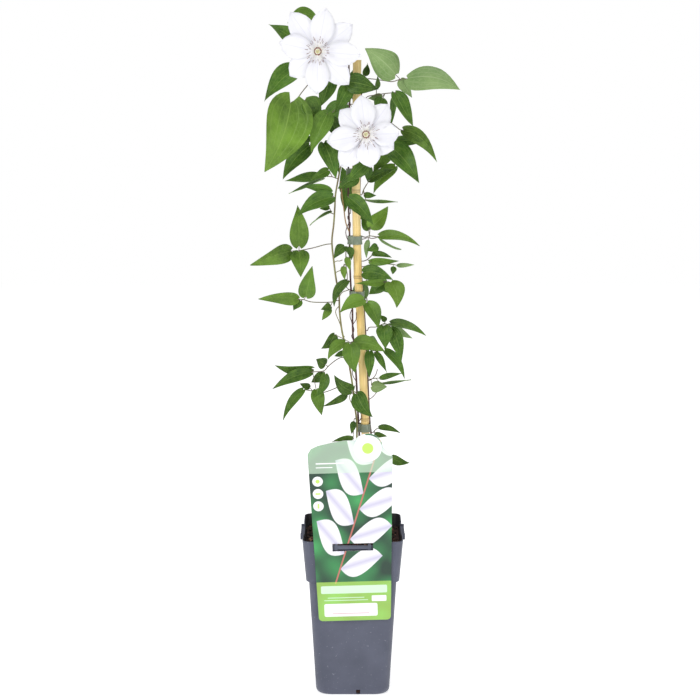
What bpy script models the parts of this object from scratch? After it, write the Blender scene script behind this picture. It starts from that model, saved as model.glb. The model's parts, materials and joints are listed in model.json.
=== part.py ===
"""Clematis in bloom, tied to a bamboo cane in a tall square nursery pot with a hanging label.

Metres, +Z up, front at -Y. The origin is the centre of the pot's underside.
"""
import math

import bmesh
import bpy
from mathutils import Matrix, Vector

MM = 0.001
CLEARANCE = 0.3 * MM
PLANT = "clematis_in_pot"

# The plant is set out as it is seen from in front: a place is (x, z) on the upright plane of the cane,
# seen from VIEWPOINT, and y, how far behind that plane it lies. All three are millimetres.
VIEWPOINT = Vector((-3.0, -1754.5, 718.0)) * MM

# Pot
POT_HEIGHT = 181.5 * MM
POT_WALL = 1.5 * MM
POT_FLOOR = 2.0 * MM
RIM_HALF = 55.0 * MM
COLLAR_FOOT_HALF = 51.0 * MM
COLLAR_HEIGHT = 47.5 * MM
BODY_TOP_HALF = 48.1 * MM
BASE_HALF = 41.0 * MM
POT_CORNER = 8.0 * MM
# The foot's rounding: how far in, the corners' radius, and the height
BASE_ROUNDING = (
    (2.5 * MM, 16.0 * MM, 0.0),
    (0.6 * MM, 13.0 * MM, 2.5 * MM),
    (0.0, 9.5 * MM, 8.0 * MM),
)
FLOOR_CORNER = 14.0 * MM
CORNER_STEPS = 3
NOTCH_WIDTH = 46.0 * MM
NOTCH_DEPTH = 4.0 * MM
RIB_LENGTH = 39.0 * MM
RIB_HEIGHT = 3.2 * MM
RIB_STAND = 3.0 * MM
RIB_TOP = POT_HEIGHT - NOTCH_DEPTH
LUG_WIDTH = 3.0 * MM
LUG_HEIGHT = 6.4 * MM
LUG_DROP = 1.2 * MM
LUG_PROUD = 0.2 * MM
NOTCH_PROUD = 0.8 * MM
DRAIN_WIDTH = 4.5 * MM
DRAIN_HEIGHT = 5.0 * MM
DRAIN_OFFSET = 6.0 * MM
DRAIN_REACH = 8.0 * MM

# Soil
SOIL_TOP = 168.0 * MM
SOIL_BUMP = 1.6 * MM
SOIL_RINGS = 5

# Label: measured from the middle of its window, across and up, in its own plane
LABEL_THICKNESS = 0.8 * MM
LABEL_TOP_HALF = 45.2 * MM
LABEL_FOOT_HALF = 39.4 * MM
LABEL_SHOULDER = 110.0 * MM
LABEL_FOOT = 85.5 * MM
LABEL_CORNER = 4.5 * MM
LABEL_CREST = ((-5.0 * MM, 121.0 * MM), (-34.0 * MM, 116.0 * MM))
LABEL_DISC = (19.1 * MM, 111.8 * MM)
LABEL_DISC_RADIUS = 16.4 * MM
LABEL_TURN = math.radians(1.66)
LABEL_LEAN = math.radians(4.0)
LABEL_FRONT = -56.2 * MM
WINDOW_HALF = 22.0 * MM

# Cane and stems
CANE_RADIUS = 4.6 * MM
CANE_ROUTE = (
    (19.5, 62, 0), (18.2, 150, 0), (17.7, 175, 0), (15.8, 240, 0), (14.6, 283, 0), (13.4, 305, 0),
    (11.4, 350, 0), (9.2, 400, 0), (7.7, 430, 0), (5.9, 458, 0), (5.4, 463, 0), (5.0, 468, 0),
    (4.5, 500, 0), (3.9, 530, 0), (3.6, 552, 0), (3.6, 556, 0), (3.6, 560, 0), (3.9, 620, 0),
    (4.4, 676, 0), (4.5, 694, 0),
)
CANE_NODE_HEIGHTS = (463, 556, 305)
CANE_SWELL = 1.1
CANE_BORE_RADIUS = 2.4 * MM
CANE_BORE_DEPTH = 12.0 * MM

STEMS = {
    "stem_left": (1.35, (
        (5, 148, -6), (5, 172, -6), (4, 230, -5), (4.6, 285, -4), (4.6, 300, -4), (2.5, 318, -5),
        (-0.5, 345, -5), (-5, 372, -4), (-9, 391, -4), (-12, 405, -4), (-14.3, 425, -4), (-15, 445, -4),
        (-18, 460, -4), (-20.5, 480, -4), (-22.5, 501, -4), (-20.5, 520, -4), (-19.3, 538, -4),
        (-18.5, 552, -4), (-15, 572, -3), (-12, 590, -2), (-11, 620, 0), (-12, 648, 2),
    )),
    "stem_twining": (1.3, (
        (10, 148, 5), (10, 172, 5), (8.4, 230, 4), (7.3, 285, 2), (6.5, 300, 1), (5.4, 318, 1),
        (4.2, 345, 1), (3.2, 362, 1), (1.8, 385, 0), (0.2, 400, 0), (-0.2, 412, 0), (-0.4, 428, 1),
        (-1.4, 442, 1), (-2.4, 458, 1), (-3.0, 474, 0), (-3.4, 490, 0), (-3.4, 505, 0), (-3.8, 520, 0),
        (-4.4, 535, 0), (-4.8, 550, 1), (-4.8, 575, 2), (-4.2, 600, 2), (-3.6, 630, 2), (-3.6, 660, 2),
        (-4.2, 690, 3),
    )),
    "stem_back": (1.25, (
        (27, 148, 6), (27, 172, 6), (23.5, 230, 7), (20.4, 285, 7), (18.6, 305, 7.5), (16.4, 350, 7.5),
        (14, 400, 7.5), (12, 430, 7.5), (9.6, 463, 7.5), (8, 500, 7.5), (7.4, 530, 7.5), (7.6, 560, 7.5),
        (8.6, 600, 7.5), (9, 640, 7.5), (9, 672, 6.5),
    )),
}
STEM_TIP_SCALE = 0.7
TAN_BRANCH_RADIUS = 0.8 * MM
TAN_BRANCH = ((-7.6, 522, -4.4), (-9.8, 538, -5), (-12.2, 556, -6), (-12.8, 566, -6.5))
STEM_ROUNDNESS = 1
PETIOLE_ROUNDNESS = 0

# Ties: height, and the stem that each holds to the cane
TIE_HEIGHT = 9.0 * MM
TIE_THICKNESS = 0.7 * MM
TIES = ((575, "stem_twining"), (503, "stem_twining"), (443, "stem_twining"), (295.5, "stem_twining"))

# Leaves. Each leaf has the stem that it grows from and the height of its root there, the points that
# its petiole passes, and its leaflets: base, tip, half-width, roll about the midrib, arch towards the
# viewer and bend to the left of its own direction. Lengths are millimetres and angles degrees.
PETIOLE_RADIUS = 0.85 * MM
NECK_HALF = 0.45 * MM
BLADE_THICKNESS = 0.75 * MM
BLADE_STATIONS = (
    (12.0, (0.0, 0.12, 0.34, 0.6, 0.84)),
    (6.5, (0.0, 0.15, 0.42, 0.76)),
    (0.0, (0.0, 0.24, 0.65)),
)
BLADE_FOLD = math.radians(16.0)
BLADE_LOBE = 0.11
BLADE_WAVE = 0.35 * MM

LEAVES = {
    "leaf_heart": ("stem_twining", 676, ((-20, 684, -4), (-40, 675, -9), (-51, 664, -15), (-60, 652, -21)), (
        ((-66, 649, -24), (-93, 576.5, -43), 27, -12, 6, 3),
        ((-51, 652, -19), (-37, 626, -13.5), 15, -38, 2, 0),
        ((-26, 680, -6), (-36, 644, -11.5), 10.5, 0, 2, 3),
    )),
    "leaf_top": ("stem_twining", 686, ((-18, 694, 4), (-34, 700, 5), (-50, 700, 5)), (
        ((-58, 686, 2), (-94, 651.5, -17), 13, 22, 3, -2),
        ((-56, 711, 4), (-88, 731.5, 4), 10, 20, 2, 0),
        ((-40, 738, 6), (-69, 732, 10), 8, 0, 2, -7),
    )),
    "leaf_over_cane_top": ("stem_twining", 662, ((-6, 664, -5), (-6, 670, -9)), (
        ((-4, 671, -11), (27, 663, -16.5), 12, 12, 3, 2),
        ((-4, 667, -7.5), (-19, 638, -18), 9, 0, 2, 0),
    )),
    "leaf_upper_right": ("stem_back", 668, ((14, 674, 4), (23, 674, 1), (33, 672.5, -2), (42, 671.5, -4),
                                            (50, 674, -4)), (
        ((45, 679, -5), (12, 706.5, -24), 16, 180, -3, 2),
        ((58, 674.5, -6), (114, 662.5, -36.5), 15.5, 160, -4, -6),
        ((51, 673, -2), (62, 655, 7.5), 6.5, 170, 0, 0),
        ((12.5, 678, 5), (16, 691, 7), 4.5, 30, 0, 0),
    )),
    "leaf_right_high": ("stem_back", 652, ((16, 656, 6), (25, 657.5, 3), (34, 659, 0), (45, 660, -3)), (
        ((45, 659, -4), (65, 626.5, -19), 11, -42, 2, -3),
        ((43, 655, 2), (41.5, 626, 9.5), 4.5, -30, 0, 0),
        ((32, 654, 3), (25, 640, 7), 8, 0, 0, 0),
        ((25, 664, -3), (27, 677, -7), 3.6, 40, 0, 0),
        ((31, 655.5, 2.5), (16, 654, 5.5), 4.5, 180, 0, 0),
    )),
    "leaf_right_bloom": ("stem_back", 636, ((22, 640, 6), (38, 630, 4), (50, 621, 1)), (
        ((54, 620, 0), (89, 586.5, -26.5), 9, 25, 3, 9),
    )),
    "leaf_right_middle": ("stem_back", 608, ((20, 612, 7), (32, 608, 5), (40, 606, 4)), (
        ((43, 609, 7), (82, 609.5, 11), 6, 10, 2, 1),
        ((40, 603.5, 2), (71, 565.5, -21), 13.5, -14, 3, 2),
        ((38, 602, 6), (22, 577, 6), 10, 0, 2, 0),
        ((45, 582, 6), (22, 553, -1.5), 8, 10, 3, -3),
    )),
    "leaf_right_low": ("stem_back", 552, ((11.5, 557, 4), (15, 563, 0)), (
        ((18, 567, -2), (45, 579, -6), 6, -15, 1, 2),
        ((12, 551.5, 5), (25.5, 551, 5), 3.6, 0, 0, 0),
        ((14, 546.5, 6), (48, 543, 0.5), 5, 72, 0, 1),
    )),
    "leaf_under_bloom": ("stem_twining", 590, ((-2, 590, -7), (6, 589, -10), (14, 586, -12)), (
        ((15, 585, -14), (-6, 566, -21.5), 9, 10, 2, 0),
        ((17, 582, -9), (16, 565, -7), 5, 0, 0, 0),
        ((4, 572, -8), (-16, 558, -10), 8, -10, 1, 0),
    )),
    "leaf_left_bloom": ("stem_left", 640, ((-17, 643, -5), (-22, 639, -12), (-26, 638, -17)), (
        ((-27, 638, -19), (-45, 596.5, -31), 11.5, 12, 3, 0),
        ((-24, 634, -12), (-14, 610, -8), 8, 0, 1, 0),
    )),
    "leaf_left_twin": ("stem_left", 604, ((-17, 608, -7), (-26, 609, -12)), (
        ((-31, 607, -14), (-17.5, 570, -25.5), 11.5, -18, 3, 0),
        ((-19, 603, -6), (-14.5, 573, -10), 3.5, 0, 0, 0),
    )),
    "leaf_left_shade": ("stem_left", 618, ((-20, 620, 2), (-32, 630, -1), (-41, 612, -4)), (
        ((-38, 634, -5), (-64, 611, -14.5), 11, 0, 2, 0),
        ((-42, 612, -7), (-62, 609, -9), 4, 30, 0, 1),
        ((-46, 604, -8), (-75, 568, -23), 10.5, 8, 3, -3),
    )),
    "leaf_left_grey": ("stem_left", 569, ((-22, 571, -5), (-31, 571.5, -4)), (
        ((-26, 578, -7), (-45, 568, -16.5), 5.5, 0, 1, 0),
        ((-37, 572, -3), (-73, 567, -5), 6, 25, 1, 1),
        ((-32, 568, 3), (-69, 554, 5), 6, 76, 0, 2),
    )),
    "leaf_left_pair": ("stem_left", 549, ((-21, 550.5, -6),), (
        ((-23, 554.5, -7), (-53, 560, -9), 6, -20, 1, -3),
        ((-22.5, 549, -9), (-60, 528.5, -26), 10, 16, 3, -3),
    )),
    "leaf_left_blade": ("stem_left", 531, ((-23, 532, -5),), (
        ((-24, 532.5, -5), (-47, 519.5, 0.5), 5, 74, 0, -3),
        ((-25, 538, -4), (-36, 537, -2), 3.2, 10, 0, 0),
    )),
    "leaf_left_three": ("stem_left", 499, ((-30, 498, -5), (-44, 494.2, -7), (-58, 491.5, -9)), (
        ((-58, 497, -10), (-59, 541, -4.5), 11, 6, 3, 0),
        ((-67, 491, -11), (-110, 475, -28), 11.5, -22, 4, -3),
        ((-58, 490.5, -10), (-56, 463, -25), 11, -6, 3, 0),
    )),
    "leaf_left_low": ("stem_left", 437, ((-22, 435.5, -5), (-33, 435, -6), (-45, 435.5, -7), (-53, 438, -8)), (
        ((-51, 441.5, -9), (-44, 474, -18.5), 10, 0, 3, 0),
        ((-60, 438.5, -9), (-102, 438, -26), 8.5, -28, 3, -4),
        ((-57, 437, -7), (-65, 426, -9), 5.5, 20, 0, 0),
        ((-24, 431, -8), (-34, 427.5, -15.5), 4.5, 10, 0, 0),
        ((-25, 429, -8), (-33.5, 415, -10), 4.5, -10, 1, 0),
    )),
    "leaf_inner": ("stem_twining", 495, ((-7, 496, -4.5), (-7.5, 486, -5), (-7.5, 477, -5), (-6, 465, -5)), (
        ((-9, 496, -6), (-20, 483, -11.5), 6, 0, 1, -2),
        ((-5.5, 495, -8), (-1.5, 481, -12), 4.5, 0, 1, 2),
        ((-6.5, 484, -8), (-3, 470, -10), 3.8, 0, 0, 0),
        ((-10.5, 474, -6), (-8.5, 459.5, -11.5), 3.6, 0, 0, 0),
        ((-6, 458.5, -7), (-20, 430, -12.5), 6, -20, 1, -6),
    )),
    "leaf_cane_pair": ("stem_back", 440, ((15, 440, 2), (15.5, 437, -5)), (
        ((12, 438, -9), (-14, 423.5, -22.5), 8.5, 14, 2, -3),
        ((15.5, 434, -7), (28, 406, -16.5), 9, -8, 2, 3),
    )),
    "leaf_olive": ("stem_twining", 562, ((-8, 561, 4),), (
        ((-8, 557, 5), (-8.5, 533, 7), 5.5, 0, 0, 0),
    )),
    "leaf_over_cane": ("stem_twining", 549, ((-5, 550, -6),), (
        ((-4.5, 549, -9), (22, 519.5, -20.5), 9.5, -6, 2, 2),
    )),
    "leaf_right_light": ("stem_back", 507, ((13.5, 506, 4), (18, 507.5, 2), (25, 506.5, 0)), (
        ((19, 517, 1), (37.5, 539.5, 5), 10, -14, 2, -3),
        ((17, 514, 4), (9.5, 530, 6), 5.5, 0, 0, 0),
        ((16.5, 502.5, 0), (15, 483, -4), 3.4, 180, 0, 1),
        ((29, 507, -2), (72, 497, -21), 6.5, -22, 2, 4),
        ((29, 505, 2), (52, 492, 7.5), 5, 104, 0, 3),
    )),
    "leaf_right_small": ("stem_back", 480, ((16, 482, 9), (22, 488, 7), (27, 496, 4)), (
        ((26.5, 496, 1), (16, 491.5, -4.5), 5, 0, 0, 0),
        ((21, 487.5, -1), (42, 484.5, -8.5), 4, -30, 1, 1),
        ((18, 479.5, 0), (50, 480, -5.5), 4.6, 10, 1, 0),
    )),
    "leaf_right_broad": ("stem_back", 470, ((14, 469.5, 3), (11.5, 468.5, -7)), (
        ((11.5, 467.5, -10), (43, 459.5, -25), 9, 10, 3, 4),
    )),
    "leaf_right_far": ("stem_back", 474, ((20, 476, 8), (34, 477, 7), (44, 476.5, 4)), (
        ((44.5, 474, 3), (43, 465.5, 3), 3.6, 0, 0, 0),
        ((48, 475.5, 3), (67, 476, 1), 2.8, 170, 0, 0),
    )),
    "leaf_right_hearts": ("stem_back", 458, ((18, 458, 5), (28, 458, 2), (37, 457.5, -2)), (
        ((33, 457.5, -2), (3, 456, -19), 4.6, 10, 1, 1),
        ((33.3, 456, 1), (17, 443.5, 3), 7.5, 0, 1, 0),
        ((41, 457, -5), (48, 429.5, -14.5), 11, -8, 2, 3),
    )),
    "leaf_right_fan": ("stem_back", 404, ((18, 407.5, 4), (26, 408, 1), (34, 411.5, -2), (40, 410, -2)), (
        ((41, 412, -4), (80, 398.5, -19), 6, -24, 2, 3),
        ((44, 409, 3), (65, 395, 1), 5, 164, 0, 1),
        ((34, 409, -5), (35.5, 384, -12.5), 9.5, 0, 2, 0),
        ((42, 406.5, -3), (53, 368.5, -12.5), 8.5, 14, 2, 3),
        ((36, 414.5, 1), (30, 421, 3), 3.4, 0, 0, 0),
    )),
    "leaf_centre_three": ("stem_twining", 392, ((-1, 391.5, -5), (-2, 390.5, -9)), (
        ((2, 390.5, -10), (35.5, 380.5, -19.5), 9, -6, 3, 3),
        ((-2, 388.5, -12), (3, 356.5, -21.5), 10.5, 0, 3, -1),
        ((-8, 391, -9), (-27.5, 372, -16.5), 7, 22, 2, -3),
        ((-9, 379.5, -8), (-20.5, 375.5, -6), 3.6, 0, 0, 0),
        ((-20, 399.5, -8), (-34, 383.5, -10), 7, -20, 1, 2),
    )),
    "leaf_lower_left": ("stem_left", 374, ((-13, 374, -6), (-20, 370, -6.5), (-27, 364, -7), (-32, 359, -8),
                                           (-44, 358, -8)), (
        ((-45, 362, -6), (-85, 364.5, -13.5), 7, -26, 2, 3),
        ((-46, 357, -9), (-88, 339, -24), 7.5, 12, 2, -3),
        ((-30, 366, -7), (-40, 372, -9), 7, 0, 0, 0),
        ((-31, 355, -5), (-46, 346, -3), 6, 0, 1, 0),
        ((-30, 355.5, -10), (-41, 330, -19.5), 6, 0, 1, 3),
        ((-40, 338, -9), (-34, 309, -16.5), 8, 0, 2, 0),
    )),
    "leaf_lower_tongue": ("stem_left", 344, ((-7, 344, -2), (-16, 341, -1), (-32, 335, -1), (-44, 336.5, -2),
                                             (-52, 338, -3)), (
        ((-54, 338, -3), (-77, 302.5, -20), 5.5, 8, 2, -3),
        ((-47, 340.5, -1), (-58, 345, -1), 4, 0, 0, 0),
    )),
    "leaf_low_dark": ("stem_twining", 336, ((4.8, 336, -5), (4.8, 335, -10)), (
        ((-1, 337, -10), (-20, 354, -15.5), 8, 0, 2, 3),
        ((-7, 332, -8), (-32, 319, -13.5), 4.5, -20, 1, 0),
        ((5, 333, -12), (22, 307, -21.5), 10, 8, 3, -2),
    )),
    "leaf_lower_right": ("stem_back", 384, ((19, 383.5, 5), (25, 381.5, 1), (32, 381.5, -2)), (
        ((18.5, 381, -3), (18, 351, -8.5), 6, 0, 2, 0),
        ((25, 380, 0), (37, 356, -5), 4.5, 30, 0, 2),
        ((35, 381.5, 1), (57, 350, -10.5), 5.5, -10, 2, 4),
    )),
    "leaf_lower_slips": ("stem_back", 350, ((20, 350, 5), (25, 351, 4)), (
        ((30, 351, 2), (54, 356, -2), 3.6, 10, 1, 1),
        ((31, 345.5, 5), (64, 348.5, -2.5), 5, 74, 0, 2),
        ((21, 342, 3), (38, 341, -1), 7, 170, 0, 0),
    )),
    "leaf_foot_left": ("stem_left", 306, ((1.5, 305, -7), (0.5, 288, -7)), (
        ((1.2, 302, -9), (-1.5, 288, -11), 3.8, 0, 0, 0),
        ((0.5, 283.5, -8), (-24, 279, -12), 3.4, 10, 0, -1),
    )),
    "leaf_foot_right": ("stem_back", 290, ((24, 292, 5), (27, 294.5, 3)), (
        ((28.5, 295.5, 2), (53, 289, -3.5), 3.8, -10, 1, 2),
        ((24, 288, 3.5), (38, 285.5, 0.5), 3.4, 0, 0, 0),
    )),
    "leaf_behind_label": ("stem_back", 262, ((30, 262, 3), (40, 262, -1)), (
        ((43, 261.5, -3), (63, 255.5, -12.5), 5.6, 0, 1, -2),
    )),
    "leaf_back_high": ("stem_back", 645, ((4, 647, 17), (-3, 648, 24)), (
        ((-8, 648, 27), (-34, 622, 48), 14, -10, -4, 0),
        ((-2, 656, 26), (6, 690, 41), 12, 20, -4, 0),
        ((2, 640, 27), (8, 602, 48), 13, 10, -4, 0),
    )),
    "leaf_back_middle": ("stem_back", 545, ((6, 547, 18), (2, 548, 26)), (
        ((-2, 552, 28), (-12, 582, 47), 11, -10, -3, 0),
        ((5, 544, 28), (16, 518, 47), 10, 20, -3, 0),
    )),
    "leaf_back_low": ("stem_back", 466, ((14, 465, 18), (18, 463, 26)), (
        ((24, 462, 28), (42, 444, 47), 9, 0, -3, 0),
        ((12, 456, 28), (2, 428, 47), 10, 15, -3, 0),
    )),
    "leaf_back_lower": ("stem_back", 392, ((13, 393, 18), (8, 393, 26)), (
        ((3, 390, 28), (-3, 362, 47), 10, -10, -3, 0),
        ((14, 394, 28), (30, 386, 51), 8, 10, -3, 0),
    )),
}

# Blooms: centre, the direction that they face, their tepals' tips and half-widths, and the stem and
# height that the stalk grows from. Tepals alternate between a front and a back layer.
BLOOMS = {
    "bloom_upper": {
        "centre": (-37, 703, -26),
        "tips": ((-28, 748), (0, 731), (9, 699), (-4, 668), (-38, 658), (-67, 677), (-78, 712), (-66, 744)),
        "stem": "stem_twining",
        "root": 682,
    },
    "bloom_lower": {
        "centre": (14, 616, -32),
        "tips": ((8.5, 657.5), (38, 648), (50, 617), (44, 599.5), (19, 580.5), (-14, 582), (-28, 608), (-14, 642)),
        "stem": "stem_back",
        "root": 616,
    },
}
TEPAL_HALF = 13.0
TEPAL_ROOT_HALF = 2.0 * MM
TEPAL_STATIONS = (0.0, 0.25, 0.55, 0.82)
TEPAL_FOLD = math.radians(5.0)
TEPAL_ARCH = 3.0 * MM
TEPAL_LAYER = 1.3 * MM
RECEPTACLE_RADIUS = 4.6 * MM
RECEPTACLE_HALF_DEPTH = 1.9 * MM
STAMEN_COUNT = 15
STAMEN_RING = 3.4 * MM
STAMEN_REACH = (9.0 * MM, 12.5 * MM)
STAMEN_LIFT = 5.0 * MM
STAMEN_RADIUS = 0.6 * MM
STYLE_RADIUS = 2.3 * MM
STYLE_HEIGHT = 5.0 * MM
STALK_RADIUS = 1.0 * MM

# Colours, linear
POT_GREY = (0.112, 0.12, 0.165)
SOIL_BROWN = (0.03, 0.018, 0.012)
LABEL_WHITE = (0.78, 0.8, 0.76)
CANE_TAN = (0.7, 0.45, 0.15)
TIE_GREY = (0.3, 0.34, 0.28)
STEM_COLOURS = {
    "stem_left": (0.36, 0.38, 0.18),
    "stem_twining": (0.13, 0.08, 0.06),
    "stem_back": (0.2, 0.15, 0.1),
}
TAN_BRANCH_COLOUR = (0.38, 0.28, 0.16)
LEAF_GREEN = (0.09, 0.24, 0.035)
TEPAL_WHITE = (0.86, 0.85, 0.92)
STAMEN_CREAM = (0.7, 0.62, 0.6)
STYLE_YELLOW = (0.75, 0.6, 0.3)


def clear_scene():
    for old in list(bpy.data.objects):
        bpy.data.objects.remove(old, do_unlink=True)


def make_collection(name):
    collection = bpy.data.collections.new(name)
    bpy.context.scene.collection.children.link(collection)
    return collection


def make_material(name, colour, roughness):
    material = bpy.data.materials.new(name)
    material.use_nodes = True
    shader = material.node_tree.nodes["Principled BSDF"]
    shader.inputs["Base Color"].default_value = (*colour, 1.0)
    shader.inputs["Roughness"].default_value = roughness
    shader.inputs["Metallic"].default_value = 0.0
    return material


def at(x, z, y):
    """The point that VIEWPOINT sees at (x, z) on the cane's plane, at depth y (millimetres in, metres out)."""
    on_plane = Vector((x, 0.0, z)) * MM
    reach = (y * MM - VIEWPOINT.y) / -VIEWPOINT.y
    return VIEWPOINT + (on_plane - VIEWPOINT) * reach


def move_to(piece, collection):
    for holder in list(piece.users_collection):
        holder.objects.unlink(piece)
    collection.objects.link(piece)


def mesh_object(name, mesh):
    piece = bpy.data.objects.new(name, mesh)
    bpy.context.scene.collection.objects.link(piece)
    return piece


def bmesh_object(name, shape):
    mesh = bpy.data.meshes.new(name)
    shape.to_mesh(mesh)
    shape.free()
    return mesh_object(name, mesh)


def freeze(piece, weld=1e-6):
    """The object's evaluated mesh as a new plain object in its place."""
    bpy.context.view_layer.update()
    evaluated = piece.evaluated_get(bpy.context.evaluated_depsgraph_get())
    mesh = bpy.data.meshes.new_from_object(evaluated)
    mesh.transform(piece.matrix_world)
    name = piece.name
    bpy.data.objects.remove(piece, do_unlink=True)
    shape = bmesh.new()
    shape.from_mesh(mesh)
    bmesh.ops.remove_doubles(shape, verts=shape.verts, dist=weld)
    bmesh.ops.dissolve_degenerate(shape, edges=shape.edges, dist=weld)
    shape.to_mesh(mesh)
    shape.free()
    return mesh_object(name, mesh)


def unite(name, first, others):
    """One body from a piece and the pieces that grow out of it."""
    group = make_collection(name + "_pieces")
    for other in others:
        group.objects.link(other)
    union = first.modifiers.new("union", "BOOLEAN")
    union.operation = "UNION"
    union.operand_type = "COLLECTION"
    union.collection = group
    union.solver = "MANIFOLD"
    whole = freeze(first)
    for other in others:
        bpy.data.objects.remove(other, do_unlink=True)
    bpy.data.collections.remove(group)
    whole.name = name
    return whole


def cut(piece, cutters, collection):
    """Take the cutters away from a piece."""
    for cutter in cutters:
        move_to(cutter, collection)
        cutter.hide_render = True
        cutter.display_type = "WIRE"
        modifier = piece.modifiers.new("cut", "BOOLEAN")
        modifier.operation = "DIFFERENCE"
        modifier.object = cutter


def finish(piece, name, collection, material, smooth=40.0):
    piece.name = name
    piece.data.name = name
    piece.data.materials.clear()
    piece.data.materials.append(material)
    piece.data.shade_smooth()
    piece.data.set_sharp_from_angle(angle=math.radians(smooth))
    move_to(piece, collection)
    return piece


def tube(name, points, radius, scales=None, roundness=STEM_ROUNDNESS):
    """A round bar along points, as a closed mesh."""
    curve = bpy.data.curves.new(name, "CURVE")
    curve.dimensions = "3D"
    curve.bevel_depth = radius
    curve.bevel_resolution = roundness
    curve.use_fill_caps = True
    spline = curve.splines.new("POLY")
    spline.points.add(len(points) - 1)
    for index, point in enumerate(points):
        spline.points[index].co = (*point, 1.0)
        spline.points[index].radius = scales[index] if scales else 1.0
    return freeze(mesh_object(name, curve))


def box(name, size, centre, turn=0.0):
    """A box, turned about the pot's axis."""
    bpy.ops.mesh.primitive_cube_add(size=1.0)
    piece = bpy.context.active_object
    piece.name = name
    piece.data.transform(Matrix.Diagonal((*size, 1.0)))
    piece.data.transform(Matrix.Translation(centre))
    piece.data.transform(Matrix.Rotation(turn, 4, "Z"))
    return piece


def rounded_square(half, corner):
    """Points round a square with rounded corners, counter-clockwise from above."""
    points = []
    for quarter in range(4):
        for step in range(CORNER_STEPS + 1):
            angle = math.radians(90.0 * (quarter + step / CORNER_STEPS))
            sign_x = 1 if quarter in (0, 3) else -1
            sign_y = 1 if quarter in (0, 1) else -1
            points.append((
                sign_x * (half - corner) + corner * math.cos(angle),
                sign_y * (half - corner) + corner * math.sin(angle),
            ))
    return points


def loft(name, rings):
    """A closed body through rings of points, flat at its first and last ring."""
    shape = bmesh.new()
    rows = [[shape.verts.new(point) for point in ring] for ring in rings]
    for lower, upper in zip(rows, rows[1:]):
        for index in range(len(lower)):
            after = (index + 1) % len(lower)
            shape.faces.new((lower[index], lower[after], upper[after], upper[index]))
    shape.faces.new(rows[0])
    shape.faces.new(rows[-1])
    bmesh.ops.recalc_face_normals(shape, faces=shape.faces)
    return bmesh_object(name, shape)


def pot_section(half, height, corner=POT_CORNER):
    return [(x, y, height) for x, y in rounded_square(half, corner)]


def make_pot(collection, cutters):
    collar_foot = POT_HEIGHT - COLLAR_HEIGHT
    foot = [pot_section(BASE_HALF - inset, height, corner) for inset, corner, height in BASE_ROUNDING]
    sections = (
        (BODY_TOP_HALF, collar_foot),
        (COLLAR_FOOT_HALF, collar_foot),
        (RIM_HALF, POT_HEIGHT),
        (RIM_HALF - POT_WALL, POT_HEIGHT),
        (COLLAR_FOOT_HALF - POT_WALL, collar_foot + POT_WALL),
        (BODY_TOP_HALF - POT_WALL, collar_foot + POT_WALL),
    )
    walls = [pot_section(half, height) for half, height in sections]
    inside_foot = pot_section(BASE_HALF - POT_WALL, POT_FLOOR, FLOOR_CORNER)
    shell = loft("pot_shell", foot + walls + [inside_foot])
    ribs = []
    holes = []
    for side in range(4):
        turn = math.radians(90.0 * side)
        face = RIM_HALF - POT_WALL / 2
        rib_middle = -(face + RIB_STAND / 2)
        rib_size = (RIB_LENGTH, RIB_STAND + POT_WALL / 2, RIB_HEIGHT)
        ribs.append(box("rib", rib_size, (0.0, rib_middle, RIB_TOP - RIB_HEIGHT / 2), turn))
        for end in (-1, 1):
            lug_size = (LUG_WIDTH, RIB_STAND + POT_WALL / 2 + LUG_PROUD, LUG_HEIGHT)
            lug_x = end * (RIB_LENGTH - LUG_WIDTH) / 2
            lug_z = RIB_TOP - RIB_HEIGHT - LUG_DROP + LUG_HEIGHT / 2
            ribs.append(box("lug", lug_size, (lug_x, rib_middle, lug_z), turn))
        notch_size = (NOTCH_WIDTH, 2 * POT_WALL + 5 * NOTCH_PROUD, 2 * NOTCH_DEPTH)
        holes.append(box("notch", notch_size, (0.0, -face - NOTCH_PROUD / 2, POT_HEIGHT), turn))
        drain_size = (DRAIN_WIDTH, DRAIN_REACH, 2 * DRAIN_HEIGHT)
        holes.append(box("drain", drain_size, (DRAIN_OFFSET, -BASE_HALF, 0.0), turn))
    cut(shell, holes[0::2], cutters)
    shell = freeze(shell)
    pot = unite("pot", shell, ribs)
    cut(pot, holes[1::2], cutters)
    return finish(pot, "pot", collection, make_material("pot_plastic", POT_GREY, 0.45), 30.0)


def soil_height(x, y):
    """The bumpy top of the bark fill."""
    wave = math.sin(x * 430.0 + 1.3) * math.cos(y * 390.0 - 0.4) + 0.6 * math.sin((x - y) * 820.0)
    return SOIL_TOP + SOIL_BUMP * wave


def make_soil(collection, cutters, bores):
    collar_foot = POT_HEIGHT - COLLAR_HEIGHT
    foot_half = BASE_HALF - POT_WALL - CLEARANCE
    ledge_half = BODY_TOP_HALF - POT_WALL - CLEARANCE
    over_half = COLLAR_FOOT_HALF - POT_WALL - CLEARANCE
    slope = (RIM_HALF - COLLAR_FOOT_HALF) / COLLAR_HEIGHT
    rise = SOIL_TOP - SOIL_BUMP * 1.7 - collar_foot - POT_WALL
    top_half = over_half + slope * rise
    rings = [
        pot_section(foot_half, POT_FLOOR + CLEARANCE, FLOOR_CORNER),
        pot_section(ledge_half, collar_foot + POT_WALL + CLEARANCE),
        pot_section(over_half, collar_foot + POT_WALL + CLEARANCE),
    ]
    for step in range(SOIL_RINGS):
        share = 1.0 - step / SOIL_RINGS
        outline = rounded_square(top_half * share, POT_CORNER * share)
        rings.append([(x, y, soil_height(x, y)) for x, y in outline])
    soil = loft("soil", rings)
    shape = bmesh.new()
    shape.from_mesh(soil.data)
    bmesh.ops.triangulate(shape, faces=shape.faces)
    shape.to_mesh(soil.data)
    shape.free()
    cut(soil, bores, cutters)
    return finish(soil, "soil", collection, make_material("bark_soil", SOIL_BROWN, 0.95), 20.0)


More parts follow.
